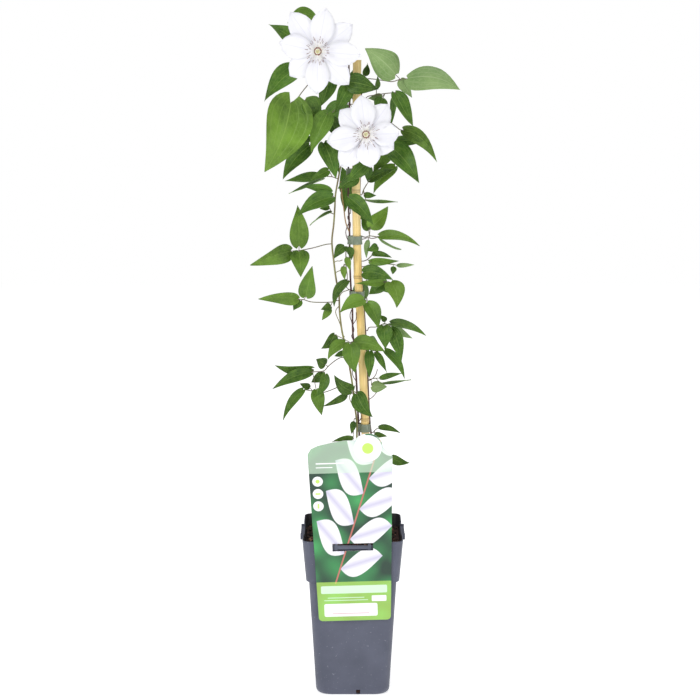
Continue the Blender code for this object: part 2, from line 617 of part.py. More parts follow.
def arc(centre, radius, start, end, steps):
    """Points round a circle from one angle to another, in degrees."""
    points = []
    for step in range(steps + 1):
        angle = math.radians(start + (end - start) * step / steps)
        points.append((centre[0] + radius * math.cos(angle), centre[1] + radius * math.sin(angle)))
    return points


def flat_outline(name, outlines, thickness):
    """A flat plate from closed outlines, the inner ones cut out of the first."""
    curve = bpy.data.curves.new(name, "CURVE")
    curve.dimensions = "2D"
    curve.fill_mode = "BOTH"
    curve.extrude = thickness / 2
    for outline in outlines:
        spline = curve.splines.new("POLY")
        spline.points.add(len(outline) - 1)
        spline.use_cyclic_u = True
        for index, (x, y) in enumerate(outline):
            spline.points[index].co = (x, y, 0.0, 1.0)
    return mesh_object(name, curve)


def make_label(collection):
    window_top = RIB_TOP + CLEARANCE + LUG_HEIGHT - RIB_HEIGHT - LUG_DROP
    window_foot = RIB_TOP - RIB_HEIGHT - LUG_DROP - 2 * CLEARANCE
    window_middle = (window_top + window_foot) / 2
    window_half_height = (window_top - window_foot) / 2 + WINDOW_HALF * math.sin(LABEL_TURN)
    foot = -LABEL_FOOT
    outline = arc((-LABEL_FOOT_HALF + LABEL_CORNER, foot + LABEL_CORNER), LABEL_CORNER, 180, 270, 4)
    outline += arc((LABEL_FOOT_HALF - LABEL_CORNER, foot + LABEL_CORNER), LABEL_CORNER, 270, 360, 4)
    outline += arc((LABEL_TOP_HALF - LABEL_CORNER, LABEL_SHOULDER - 2 * LABEL_CORNER), LABEL_CORNER, 0, 62, 3)
    outline += arc(LABEL_DISC, LABEL_DISC_RADIUS, 2, 146, 12)
    outline += LABEL_CREST
    outline += arc((-LABEL_TOP_HALF + LABEL_CORNER, LABEL_SHOULDER - LABEL_CORNER), LABEL_CORNER, 130, 180, 3)
    half = WINDOW_HALF
    window = [
        (-half, -window_half_height), (half, -window_half_height),
        (half, window_half_height), (-half, window_half_height),
    ]
    label = flat_outline("label", [outline, window], LABEL_THICKNESS)
    turned = Matrix.Rotation(LABEL_TURN, 4, "Z")
    upright = Matrix.Rotation(math.radians(90.0) + LABEL_LEAN, 4, "X")
    label.matrix_world = Matrix.Translation((0.0, LABEL_FRONT, window_middle)) @ upright @ turned
    label = freeze(label)
    return finish(label, "label", collection, make_material("label_plastic", LABEL_WHITE, 0.35), 30.0)


def make_cane(collection, cutters):
    points = [at(*place) for place in CANE_ROUTE]
    scales = [CANE_SWELL if place[1] in CANE_NODE_HEIGHTS else 1.0 for place in CANE_ROUTE]
    cane = tube("cane", points, CANE_RADIUS, scales, roundness=2)
    along = (points[-1] - points[-2]).normalized()
    top = points[-1]
    bore = tube("cane_bore", [top - along * CANE_BORE_DEPTH, top + along * CANE_BORE_DEPTH],
                CANE_BORE_RADIUS, roundness=2)
    cut(cane, [bore], cutters)
    return finish(cane, "cane", collection, make_material("bamboo", CANE_TAN, 0.4), 50.0)


def make_bores():
    """Plain holes in the soil for the cane and the stems."""
    lift = Vector((0.0, 0.0, 25 * MM))
    bores = []
    foot, mouth = at(*CANE_ROUTE[0]), at(*CANE_ROUTE[2])
    along = (mouth - foot).normalized()
    bores.append(tube("cane_hole", [foot - along * CLEARANCE, mouth + along * 10 * MM],
                      CANE_RADIUS + 2 * CLEARANCE, roundness=3))
    for name, (radius, route) in STEMS.items():
        foot, mouth = at(*route[0]), at(*route[1])
        bores.append(tube(name + "_hole", [foot - Vector((0.0, 0.0, CLEARANCE)), mouth + lift],
                          radius * MM + 2 * CLEARANCE, roundness=2))
    return bores


def stem_points(name):
    return [at(*place) for place in STEMS[name][1]]


def stem_scale(name, height):
    """How much of its full radius a stem keeps at a height."""
    route = STEMS[name][1]
    share = (height - route[0][1]) / (route[-1][1] - route[0][1])
    return 1.0 + (STEM_TIP_SCALE - 1.0) * share


def on_stem(name, height):
    """The stem's axis at a height on the cane's plane, its direction and its radius there."""
    radius, route = STEMS[name]
    for low, high in zip(route, route[1:]):
        if low[1] <= height <= high[1]:
            share = (height - low[1]) / (high[1] - low[1])
            place = at(*[a + (b - a) * share for a, b in zip(low, high)])
            along = (at(*high) - at(*low)).normalized()
            return place, along, radius * MM * stem_scale(name, height)
    raise ValueError(f"{name} does not reach {height}")


def make_stems(collection):
    for name, (radius, route) in STEMS.items():
        scales = [stem_scale(name, place[1]) for place in route]
        stem = tube(name, stem_points(name), radius * MM, scales)
        finish(stem, name, collection, make_material(name + "_bark", STEM_COLOURS[name], 0.6), 70.0)
    points = [at(*place) for place in TAN_BRANCH]
    root = sprout("stem_twining", 512, points[0])
    branch = tube("stem_branch", root + points, TAN_BRANCH_RADIUS)
    finish(branch, "stem_branch", collection, make_material("branch_bark", TAN_BRANCH_COLOUR, 0.6), 70.0)


def sprout(stem, height, towards):
    """The first two points of what grows from a stem: square to it, and just clear of its bark."""
    place, along, radius = on_stem(stem, height)
    outward = towards - place
    outward -= along * outward.dot(along)
    outward.normalize()
    return [place + outward * (radius + CLEARANCE), place + outward * (radius + CLEARANCE + 1.6 * MM)]


def belt(place_a, radius_a, place_b, radius_b, steps=8):
    """The outline of a band pulled round two circles."""
    away = Vector((place_b[0] - place_a[0], place_b[1] - place_a[1]))
    heading = math.degrees(math.atan2(away.y, away.x))
    spread = math.degrees(math.acos((radius_a - radius_b) / away.length))
    return (arc(place_a, radius_a, heading + spread, heading + 360 - spread, steps)
            + arc(place_b, radius_b, heading - spread, heading + spread, steps // 2))


def cane_axis(height):
    for low, high in zip(CANE_ROUTE, CANE_ROUTE[1:]):
        if low[1] <= height <= high[1]:
            share = (height - low[1]) / (high[1] - low[1])
            return at(*[a + (b - a) * share for a, b in zip(low, high)])
    raise ValueError(f"the cane does not reach {height}")


def make_ties(collection):
    material = make_material("tie_band", TIE_GREY, 0.3)
    for number, (height, stem) in enumerate(TIES, start=1):
        cane = cane_axis(height)
        held, _, radius = on_stem(stem, height)
        inner = (CANE_RADIUS + 2 * CLEARANCE, radius + 2 * CLEARANCE)
        outlines = [
            belt(cane, inner[0] + TIE_THICKNESS, held, inner[1] + TIE_THICKNESS),
            belt(cane, inner[0], held, inner[1]),
        ]
        band = flat_outline("tie", outlines, TIE_HEIGHT)
        band.matrix_world = Matrix.Translation((0.0, 0.0, cane.z))
        finish(freeze(band), f"tie_{number}", collection, material, 40.0)


def leaflet_width(along):
    """Half-width of an ovate leaflet along its midrib, as a share of its widest."""
    return math.sin(math.pi * along ** 0.55) ** 0.95


def tepal_width(along):
    """Half-width of a tepal along its midrib: narrow claw, broad middle, short point."""
    return math.sin(math.pi * along ** 1.15) ** 0.75


def lie(base, tip, roll):
    """How a blade lies: along its midrib, across it, and out of its face."""
    along = (tip - base).normalized()
    to_viewer = (VIEWPOINT - (base + tip) / 2).normalized()
    side = to_viewer.cross(along).normalized()
    face = along.cross(side)
    turn = Matrix.Rotation(roll, 3, along)
    return along, turn @ side, turn @ face


def blade(name, neck, base, tip, half, root_half, roll, arch, bend, stations, width_rule, lobe, fold):
    """A leaflet or tepal from base to tip, folded along its midrib, as a closed thin body. Its
    petiolule, when it has one, is a narrow strip that starts at neck."""
    along, side, face = lie(base, tip, roll)
    length = (tip - base).length
    shape = bmesh.new()
    rows = []
    if neck is not None:
        across = face.cross(base - neck).normalized()
        rows.append([shape.verts.new(neck + across * root_half * edge) for edge in (-1, 0, 1)])
    for station in stations:
        width = width_rule(station)
        reach = max(half * width, root_half)
        bow = 4.0 * station * (1.0 - station)
        middle = base + (tip - base) * station + (face * arch + side * bend) * bow
        row = []
        for edge in (-1, 0, 1):
            point = middle + side * (edge * reach * math.cos(fold))
            if edge and station:
                wave = BLADE_WAVE * math.sin(7.0 * station + 1.7 * edge)
                point += face * (reach * math.sin(fold) + wave) - along * lobe * length * (1.0 - station) ** 4
            row.append(shape.verts.new(point))
        rows.append(row)
    for lower, upper in zip(rows, rows[1:]):
        for left in (0, 1):
            shape.faces.new((lower[left], lower[left + 1], upper[left + 1], upper[left]))
    point = shape.verts.new(tip)
    for left in (0, 1):
        shape.faces.new((rows[-1][left], rows[-1][left + 1], point))
    bmesh.ops.triangulate(shape, faces=shape.faces)
    leaf = bmesh_object(name, shape)
    solid = leaf.modifiers.new("thickness", "SOLIDIFY")
    solid.thickness = BLADE_THICKNESS
    solid.offset = 0.0
    return freeze(leaf)


def make_leaf(name, stem, height, petiole, leaflets, collection, material):
    route = [at(*place) for place in petiole]
    blades = []
    for number, (base, tip, half, roll, arch, bend) in enumerate(leaflets):
        foot = at(*base)
        neck = min(route, key=lambda place: (place - foot).length)
        stations = next(steps for least, steps in BLADE_STATIONS if half >= least)
        blades.append(blade(f"{name}_blade_{number}", neck, foot, at(*tip), half * MM, NECK_HALF,
                            math.radians(roll), arch * MM, bend * MM, stations, leaflet_width,
                            BLADE_LOBE, BLADE_FOLD))
    stalk = sprout(stem, height, route[0]) + route
    onward = (stalk[-1] - stalk[-2]).normalized()
    stalk[-1] = stalk[-1] + onward * PETIOLE_RADIUS
    leaf = unite(name, tube(name, stalk, PETIOLE_RADIUS, roundness=PETIOLE_ROUNDNESS), blades)
    return finish(leaf, name, collection, material, 50.0)


def facing(centre, aim):
    """A frame at a bloom's centre: across, up and out of its face."""
    out = (aim - centre).normalized()
    across = Vector((0.0, 0.0, 1.0)).cross(out).normalized()
    up = out.cross(across)
    return across, up, out


def make_bloom(name, bloom, collection, materials):
    centre = at(*bloom["centre"])
    across, up, out = facing(centre, VIEWPOINT)
    turn = Matrix((across, up, out)).transposed().to_4x4()
    frame = Matrix.Translation(centre) @ turn
    bpy.ops.mesh.primitive_cylinder_add(vertices=16, radius=RECEPTACLE_RADIUS, depth=2 * RECEPTACLE_HALF_DEPTH)
    receptacle = bpy.context.active_object
    receptacle.name = name
    receptacle.data.transform(frame)
    tepals = []
    for number, (x, z) in enumerate(bloom["tips"]):
        layer = TEPAL_LAYER * (-1 if number % 2 else 1)
        tip = at(x, z, bloom["centre"][2] + 2.0)
        base = centre + (tip - centre).normalized() * RECEPTACLE_RADIUS * 0.3 + out * layer * 0.6
        tepals.append(blade(f"{name}_tepal_{number}", None, base, tip + out * layer, TEPAL_HALF * MM,
                            TEPAL_ROOT_HALF, 0.0, TEPAL_ARCH, 0.0, TEPAL_STATIONS, tepal_width, 0.0,
                            TEPAL_FOLD))
    whole = unite(name + "_tepals", receptacle, tepals)
    finish(whole, name + "_tepals", collection, materials["tepals"], 50.0)
    make_stamens(name, frame, collection, materials["stamens"])
    make_styles(name, frame, collection, materials["styles"])
    back = centre - out * (RECEPTACLE_HALF_DEPTH + CLEARANCE)
    behind = back - out * 7 * MM
    root = sprout(bloom["stem"], bloom["root"], behind)
    middle = (root[-1] + behind) / 2 + Vector((0.0, 0.0, 2 * MM))
    stalk = tube(name + "_stalk", root + [middle, behind, back], STALK_RADIUS)
    finish(stalk, name + "_stalk", collection, materials["stalk"], 70.0)


def make_stamens(name, frame, collection, material):
    floor = RECEPTACLE_HALF_DEPTH + CLEARANCE
    bpy.ops.mesh.primitive_torus_add(major_segments=13, minor_segments=4, major_radius=STAMEN_RING,
                                     minor_radius=0.75 * MM)
    ring = bpy.context.active_object
    ring.data.transform(Matrix.Translation((0.0, 0.0, floor + 0.75 * MM)))
    filaments = []
    for number in range(STAMEN_COUNT):
        angle = 2.0 * math.pi * number / STAMEN_COUNT
        outward = Vector((math.cos(angle), math.sin(angle), 0.0))
        reach = STAMEN_REACH[number % 2] - 0.8 * MM * (number % 3)
        lift = STAMEN_LIFT + 1.1 * MM * (number % 3)
        foot = outward * STAMEN_RING + Vector((0.0, 0.0, floor + 0.8 * MM))
        head = outward * reach + Vector((0.0, 0.0, floor + lift))
        filaments.append(tube(f"{name}_filament_{number}", [foot, head], STAMEN_RADIUS, roundness=0))
    stamens = unite(name + "_stamens", ring, filaments)
    stamens.data.transform(frame)
    finish(stamens, name + "_stamens", collection, material, 60.0)


def make_styles(name, frame, collection, material):
    bpy.ops.mesh.primitive_uv_sphere_add(segments=8, ring_count=6, radius=1.0)
    tuft = bpy.context.active_object
    tuft.data.transform(Matrix.Diagonal((STYLE_RADIUS, STYLE_RADIUS, STYLE_HEIGHT / 2, 1.0)))
    lift = RECEPTACLE_HALF_DEPTH + CLEARANCE + STYLE_HEIGHT / 2
    tuft.data.transform(frame @ Matrix.Translation((0.0, 0.0, lift)))
    finish(tuft, name + "_styles", collection, material, 60.0)


def main():
    clear_scene()
    plant = make_collection(PLANT)
    cutters = make_collection("cutters")
    make_pot(plant, cutters)
    make_soil(plant, cutters, make_bores())
    make_label(plant)
    make_cane(plant, cutters)
    make_stems(plant)
    make_ties(plant)
    leaf_material = make_material("leaf_green", LEAF_GREEN, 0.5)
    for name, (stem, height, petiole, leaflets) in LEAVES.items():
        make_leaf(name, stem, height, petiole, leaflets, plant, leaf_material)
    bloom_materials = {
        "tepals": make_material("tepal_white", TEPAL_WHITE, 0.55),
        "stamens": make_material("stamen_cream", STAMEN_CREAM, 0.6),
        "styles": make_material("style_yellow", STYLE_YELLOW, 0.6),
        "stalk": make_material("stalk_green", STEM_COLOURS["stem_back"], 0.6),
    }
    for name, bloom in BLOOMS.items():
        make_bloom(name, bloom, plant, bloom_materials)


main()
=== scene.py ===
"""A clematis in bloom on a bamboo cane, in a tall square nursery pot with a hanging label.

Metres, +Z up and the front at -Y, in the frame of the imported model.
"""
import json
import math
import random

import bmesh
import bpy
from mathutils import Matrix, Vector

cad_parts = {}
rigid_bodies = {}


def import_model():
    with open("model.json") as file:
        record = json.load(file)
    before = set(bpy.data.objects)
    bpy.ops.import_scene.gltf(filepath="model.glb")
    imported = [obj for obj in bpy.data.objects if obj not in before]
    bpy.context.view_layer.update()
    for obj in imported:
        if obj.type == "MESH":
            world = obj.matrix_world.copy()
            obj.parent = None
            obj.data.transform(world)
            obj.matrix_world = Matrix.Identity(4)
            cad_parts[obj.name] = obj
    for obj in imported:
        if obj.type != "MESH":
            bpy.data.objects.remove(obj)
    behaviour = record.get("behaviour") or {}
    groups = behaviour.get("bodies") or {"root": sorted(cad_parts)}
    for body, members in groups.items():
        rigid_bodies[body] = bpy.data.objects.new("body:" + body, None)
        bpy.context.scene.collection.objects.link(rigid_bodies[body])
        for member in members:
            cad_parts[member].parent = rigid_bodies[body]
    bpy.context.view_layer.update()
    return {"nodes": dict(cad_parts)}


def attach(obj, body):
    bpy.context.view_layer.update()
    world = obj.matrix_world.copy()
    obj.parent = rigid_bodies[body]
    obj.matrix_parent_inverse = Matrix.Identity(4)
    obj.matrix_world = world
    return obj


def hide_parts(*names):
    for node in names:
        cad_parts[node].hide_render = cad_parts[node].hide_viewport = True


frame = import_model()
MM = 0.001

# Camera and studio
# The photographer's camera stands level with the upper bloom and looks down a little. A pale floor runs
# out to a white surround, and three wide soft lamps leave hardly a shadow.
VIEWPOINT = Vector((-3.0, -1754.5, 718.0)) * MM
CAMERA_TILT = math.radians(79.17)
CAMERA_LENS = 84.19
CAMERA_SENSOR = 36.0
FLOOR_SIDE = 6.0
FLOOR_DROP = 0.0002
FLOOR_PALE = (0.93, 0.93, 0.93, 1.0)
STUDIO_WHITE = (1.0, 1.0, 1.0, 1.0)
SURROUND_LIGHT = 0.38
SURROUND_SEEN = 1.0
FLOOR_GLOW = 0.6
LAMPS = {
    "lamp_front_left": {"place": (-1.3, -1.7, 1.5), "side": 0.9, "power": 20.0},
    "lamp_front_right": {"place": (1.5, -1.5, 1.1), "side": 1.3, "power": 10.0},
    "lamp_above": {"place": (0.1, 0.5, 2.1), "side": 1.5, "power": 13.0},
}
LAMP_AIM = Vector((0.0, 0.0, 0.4))


def seen_at(x, z, y):
    """The point that VIEWPOINT sees at (x, z) on the cane's upright plane, y behind it; millimetres in."""
    on_plane = Vector((x, 0.0, z)) * MM
    reach = (y * MM - VIEWPOINT.y) / -VIEWPOINT.y
    return VIEWPOINT + (on_plane - VIEWPOINT) * reach


def wire(tree, value, socket):
    """Fill a socket with a plain value, or link it to another socket or to a node's first output."""
    if isinstance(value, bpy.types.Node):
        value = value.outputs[0]
    if isinstance(value, bpy.types.NodeSocket):
        tree.links.new(value, socket)
    else:
        socket.default_value = value


def add(tree, kind, wires=None, **settings):
    """A node in a tree, with its settings made and its sockets wired."""
    node = tree.nodes.new(kind)
    for name, value in settings.items():
        setattr(node, name, value)
    for name, value in (wires or {}).items():
        wire(tree, value, node.inputs[name])
    return node


def remap(tree, value, low=0.0, high=1.0, to_low=0.0, to_high=1.0):
    """A value carried evenly from one range to another, and held at its ends."""
    return add(tree, "ShaderNodeMapRange", {
        "Value": value, "From Min": low, "From Max": high, "To Min": to_low, "To Max": to_high}).outputs[0]


def new_material(name, colour, roughness, **sockets):
    """A material with one Principled shader: the material, its tree and the shader."""
    material = bpy.data.materials.new(name)
    material.use_nodes = True
    shader = material.node_tree.nodes["Principled BSDF"]
    shader.inputs["Base Color"].default_value = colour
    shader.inputs["Roughness"].default_value = roughness
    for socket, value in sockets.items():
        shader.inputs[socket.replace("_", " ")].default_value = value
    return material, material.node_tree, shader


def colour_of(red, green, blue):
    """A linear colour, with nothing see-through, from the 0 to 255 values that a screen shows."""
    linear = [(((value / 255) + 0.055) / 1.055) ** 2.4 if value > 10 else value / 255 / 12.92
              for value in (red, green, blue)]
    return (*linear, 1.0)


camera_data = bpy.data.cameras.new("camera")
camera_data.lens = CAMERA_LENS
camera_data.sensor_width = CAMERA_SENSOR
camera = bpy.data.objects.new("camera", camera_data)
camera.location = VIEWPOINT
camera.rotation_euler = (CAMERA_TILT, 0.0, 0.0)
bpy.context.scene.collection.objects.link(camera)
bpy.context.scene.camera = camera
bpy.context.scene.view_settings.view_transform = "Standard"

for lamp_name, lamp_facts in LAMPS.items():
    lamp_data = bpy.data.lights.new(lamp_name, "AREA")
    lamp_data.size = lamp_facts["side"]
    lamp_data.energy = lamp_facts["power"]
    lamp = bpy.data.objects.new(lamp_name, lamp_data)
    lamp.location = lamp_facts["place"]
    lamp.rotation_euler = (LAMP_AIM - lamp.location).to_track_quat("-Z", "Y").to_euler()
    bpy.context.scene.collection.objects.link(lamp)

surround = bpy.data.worlds.new("surround")
surround.use_nodes = True
tree = surround.node_tree
backdrop = tree.nodes["Background"]
backdrop.inputs["Color"].default_value = STUDIO_WHITE
ray = add(tree, "ShaderNodeLightPath")
strength = remap(tree, ray.outputs["Is Camera Ray"], to_low=SURROUND_LIGHT, to_high=SURROUND_SEEN)
wire(tree, strength, backdrop.inputs["Strength"])
bpy.context.scene.world = surround

floor_material, _, _ = new_material("studio_floor", FLOOR_PALE, 0.9, Emission_Strength=FLOOR_GLOW,
                                    Emission_Color=STUDIO_WHITE)
bpy.ops.mesh.primitive_plane_add(size=FLOOR_SIDE, location=(0.0, 0.0, -FLOOR_DROP))
floor = bpy.context.active_object
floor.name = "studio_floor"
floor.data.materials.append(floor_material)

# Pot
# A tall square nursery pot, injection moulded in slate grey polypropylene. A deeper collar stiffens the
# rim, each side has a rib with two lugs to hang a label on, and slots at the foot let water out.
POT_HEIGHT = 181.5
POT_WALL = 1.5
POT_FLOOR = 2.0
RIM_HALF = 55.0
COLLAR_FOOT_HALF = 51.0
COLLAR_FOOT = POT_HEIGHT - 47.5
BODY_TOP_HALF = 48.1
BASE_HALF = 41.0
POT_CORNER = 8.0
FOOT_CORNER = 9.5
FLOOR_CORNER = 14.0
CORNER_STEPS = 9
NOTCH = (46.0, 7.0, 8.0)
RIB = (39.0, 3.7, 3.2)
LUG = (3.0, 3.9, 6.4)
RIB_STAND = 3.0
RIB_TOP = POT_HEIGHT - 4.0
LUG_DROP = 1.2
DRAIN = (4.5, 8.0, 5.4)
DRAIN_MIDDLE = 3.5
DRAIN_OFFSET = 6.0
NOTCH_OUT = 0.4
EDGE_ROUNDING = 0.25
EDGE_SHARPEST = 50.0
INSIDE_LEDGE = 1.0
POT_GREY = colour_of(84, 88, 106)
POT_DARK = colour_of(70, 74, 90)
# Near-black for the inner walls above the soil: painted shade, as they are the same grey plastic as the rest
POT_INSIDE_SHADE = colour_of(30, 30, 34)
POT_DUST = colour_of(150, 152, 165)


def rounded_square(half, corner, steps):
    """Points round a square with rounded corners, counter-clockwise from above."""
    points = []
    for quarter in range(4):
        for step in range(steps + 1):
            angle = math.radians(90.0 * (quarter + step / steps))
            sign_x = 1 if quarter in (0, 3) else -1
            sign_y = 1 if quarter in (0, 1) else -1
            points.append((
                sign_x * (half - corner) + corner * math.cos(angle),
                sign_y * (half - corner) + corner * math.sin(angle),
            ))
    return points


def soften(mesh, degrees):
    """Smooth shading, but for edges that turn more sharply than an angle."""
    mesh.shade_smooth()
    mesh.set_sharp_from_angle(angle=math.radians(degrees))


def piece_of(name, mesh):
    """A new object in the scene that holds a mesh."""
    piece = bpy.data.objects.new(name, mesh)
    bpy.context.scene.collection.objects.link(piece)
    return piece


def mesh_piece(name, shape, materials, smooth=35.0):
    """An object of a finished bmesh, in metres."""
    mesh = bpy.data.meshes.new(name)
    shape.to_mesh(mesh)
    shape.free()
    for material in materials:
        mesh.materials.append(material)
    soften(mesh, smooth)
    return piece_of(name, mesh)


def loft(rings):
    """A closed body through rings of points, flat at its ends."""
    shape = bmesh.new()
    rows = [[shape.verts.new(Vector(point) * MM) for point in ring] for ring in rings]
    for lower, upper in zip(rows, rows[1:]):
        for index in range(len(lower)):
            after = (index + 1) % len(lower)
            shape.faces.new((lower[index], lower[after], upper[after], upper[index]))
    shape.faces.new(rows[0])
    shape.faces.new(rows[-1])
    bmesh.ops.recalc_face_normals(shape, faces=shape.faces)
    return shape


def block(size, centre, turn=0.0):
    """A box in millimetres, turned about the pot's axis."""
    shape = bmesh.new()
    place = Matrix.Rotation(turn, 4, "Z") @ Matrix.Translation(Vector(centre) * MM)
    bmesh.ops.create_cube(shape, size=MM, matrix=place @ Matrix.Diagonal((*size, 1.0)))
    return shape


def settle(piece):
    """The piece with its modifiers made part of its mesh."""
    bpy.context.view_layer.update()
    evaluated = piece.evaluated_get(bpy.context.evaluated_depsgraph_get())
    plain = bpy.data.meshes.new_from_object(evaluated)
    piece.modifiers.clear()
    piece.data = plain
    return piece


def carve(piece, others, operation):
    """Union or difference with other pieces, which go away."""
    for other in others:
        boolean = piece.modifiers.new(operation.lower(), "BOOLEAN")
        boolean.operation = operation
        boolean.object = other
        boolean.solver = "EXACT"
    settle(piece)
    for other in others:
        bpy.data.objects.remove(other, do_unlink=True)


def dress(piece, slot, *nodes):
    """Hang a piece on the part's one body and hide the imported nodes that it stands in for."""
    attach(piece, "root")
    if nodes:
        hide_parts(*nodes)


def node_group(name, kind, inputs, outputs):
    """An empty node group with named sockets: the group, what comes in and what goes out, by name."""
    group = bpy.data.node_groups.new(name, kind)
    for in_out, sockets in (("INPUT", inputs), ("OUTPUT", outputs)):
        for socket, sort in sockets:
            group.interface.new_socket(socket, in_out=in_out, socket_type="NodeSocket" + sort)
    entry, leave = group.nodes.new("NodeGroupInput"), group.nodes.new("NodeGroupOutput")
    return group, {socket.name: socket for socket in entry.outputs}, leave.inputs


def shader_group(name, inputs, outputs):
    """An empty shader node group: the group, what comes in and what goes out, by name."""
    return node_group(name, "ShaderNodeTree", inputs, outputs)


def maths(tree, operation, *values):
    """The result of one sum in a tree."""
    return add(tree, "ShaderNodeMath", dict(enumerate(values)), operation=operation).outputs[0]


def mixed(tree, share, first, second):
    """The colour between two others, by a share that may vary over the surface."""
    return add(tree, "ShaderNodeMix", {0: share, 6: first, 7: second}, data_type="RGBA").outputs[2]


# Cloudy variation, shared by all the main finishes: it shifts a colour towards a second one in soft
# patches and gives the patches' height. A small stretch draws the patches out into upright fibres.
mottle, mottle_in, mottle_out = shader_group(
    "mottle",
    (("Colour", "Color"), ("Second", "Color"), ("Scale", "Float"), ("Stretch", "Float"),
     ("Amount", "Float")),
    (("Colour", "Color"), ("Height", "Float")))
mottle_where = add(mottle, "ShaderNodeTexCoord")
mottle_stretch = add(mottle, "ShaderNodeCombineXYZ", {"X": 1.0, "Y": 1.0, "Z": mottle_in["Stretch"]})
mottle_scaled = add(mottle, "ShaderNodeVectorMath", {
    0: mottle_where.outputs["Object"], 1: mottle_stretch}, operation="MULTIPLY")
mottle_noise = add(mottle, "ShaderNodeTexNoise", {
    "Vector": mottle_scaled, "Scale": mottle_in["Scale"], "Detail": 4.0, "Roughness": 0.55})
mottle_spread = remap(mottle, mottle_noise, low=0.32, high=0.68)
mottle_amount = maths(mottle, "MULTIPLY", mottle_spread, mottle_in["Amount"])
mottle_colour = mixed(mottle, mottle_amount, mottle_in["Colour"], mottle_in["Second"])
wire(mottle, mottle_colour, mottle_out["Colour"])
wire(mottle, mottle_spread, mottle_out["Height"])


def use(tree, group, wires):
    """A placed copy of a shader node group."""
    return add(tree, "ShaderNodeGroup", wires, node_tree=group)


def mottled(tree, colour, second, scale, amount, stretch=1.0):
    """A colour with clouds of a second one, or with its fibres where the stretch is small."""
    return use(tree, mottle, {
        "Colour": colour, "Second": second, "Scale": scale, "Stretch": stretch, "Amount": amount})


def relief(tree, shader, height, strength, depth, sunk=False):
    """Give a shader's surface a relief from a height, so deep in metres, raised or sunk."""
    bump = add(tree, "ShaderNodeBump", {
        "Height": height, "Strength": strength, "Distance": depth}, invert=sunk)
    wire(tree, bump, shader.inputs["Normal"])


pot_plastic, tree, shader = new_material("pot_plastic", POT_GREY, 0.42)
cloud = mottled(tree, POT_GREY, POT_DARK, scale=38.0, amount=0.6)
dust_place = add(tree, "ShaderNodeTexCoord")
dust = add(tree, "ShaderNodeTexNoise", {
    "Vector": dust_place.outputs["Object"], "Scale": 420.0, "Detail": 3.0})
dust_specks = remap(tree, dust, low=0.66, high=0.74, to_high=0.45)
wire(tree, mixed(tree, dust_specks, cloud, POT_DUST), shader.inputs["Base Color"])
rough = remap(tree, cloud.outputs["Height"], to_low=0.36, to_high=0.52)
wire(tree, rough, shader.inputs["Roughness"])
grain = add(tree, "ShaderNodeTexNoise", {
    "Vector": dust_place.outputs["Object"], "Scale": 1400.0, "Detail": 2.0})
relief(tree, shader, grain, strength=0.12, depth=0.0003)

# Half-width, height and corner radius of each level section, up the outside, over the rim and down inside
wall = POT_WALL
pot_sections = (
    (BASE_HALF - 3.6, 0.5, 16.5), (BASE_HALF - 2.5, 0.0, 16.0), (BASE_HALF - 1.3, 0.7, 14.8),
    (BASE_HALF - 0.6, 2.4, 13.2), (BASE_HALF - 0.2, 4.8, 11.2), (BASE_HALF, 8.0, FOOT_CORNER),
    (BODY_TOP_HALF, COLLAR_FOOT, POT_CORNER), (COLLAR_FOOT_HALF - 0.7, COLLAR_FOOT, POT_CORNER),
    (COLLAR_FOOT_HALF - 0.2, COLLAR_FOOT + 0.2, POT_CORNER),
    (COLLAR_FOOT_HALF, COLLAR_FOOT + 0.7, POT_CORNER),
    (RIM_HALF - 0.2, POT_HEIGHT - 0.6, POT_CORNER), (RIM_HALF - 0.4, POT_HEIGHT - 0.15, POT_CORNER),
    (RIM_HALF - 0.75, POT_HEIGHT, POT_CORNER), (RIM_HALF - 1.1, POT_HEIGHT - 0.15, POT_CORNER),
    (RIM_HALF - 1.35, POT_HEIGHT - 0.6, POT_CORNER),
    (COLLAR_FOOT_HALF - wall, COLLAR_FOOT + wall, POT_CORNER),
    (BODY_TOP_HALF - wall, COLLAR_FOOT + wall - 0.3, POT_CORNER),
    (BASE_HALF - wall, POT_FLOOR, FLOOR_CORNER),
)
pot = mesh_piece("pot", loft([[(x, y, height) for x, y in rounded_square(half, corner, CORNER_STEPS)]
                              for half, height, corner in pot_sections]), [pot_plastic])
notches, drains, ribs = [], [], []
for side in range(4):
    turn = math.radians(90.0 * side)
    face = RIM_HALF - wall / 2
    rib_middle = -(face + RIB_STAND / 2)
    notch_place = (0.0, -face - NOTCH_OUT, POT_HEIGHT)
    notches.append(mesh_piece("notch", block(NOTCH, notch_place, turn), []))
    drains.append(mesh_piece("drain", block(DRAIN, (DRAIN_OFFSET, -BASE_HALF, DRAIN_MIDDLE), turn), []))
    ribs.append(mesh_piece("rib", block(RIB, (0.0, rib_middle, RIB_TOP - RIB[2] / 2), turn), []))
    for end in (-1, 1):
        lug_place = (end * (RIB[0] - LUG[0]) / 2, rib_middle, RIB_TOP - RIB[2] - LUG_DROP + LUG[2] / 2)
        ribs.append(mesh_piece("lug", block(LUG, lug_place, turn), []))
carve(pot, notches, "DIFFERENCE")
carve(pot, ribs, "UNION")
carve(pot, drains, "DIFFERENCE")
pot_edges = pot.modifiers.new("softened_edges", "BEVEL")
pot_edges.width = EDGE_ROUNDING * MM
pot_edges.segments = 2
pot_edges.limit_method = "ANGLE"
pot_edges.angle_limit = math.radians(EDGE_SHARPEST)
settle(pot)
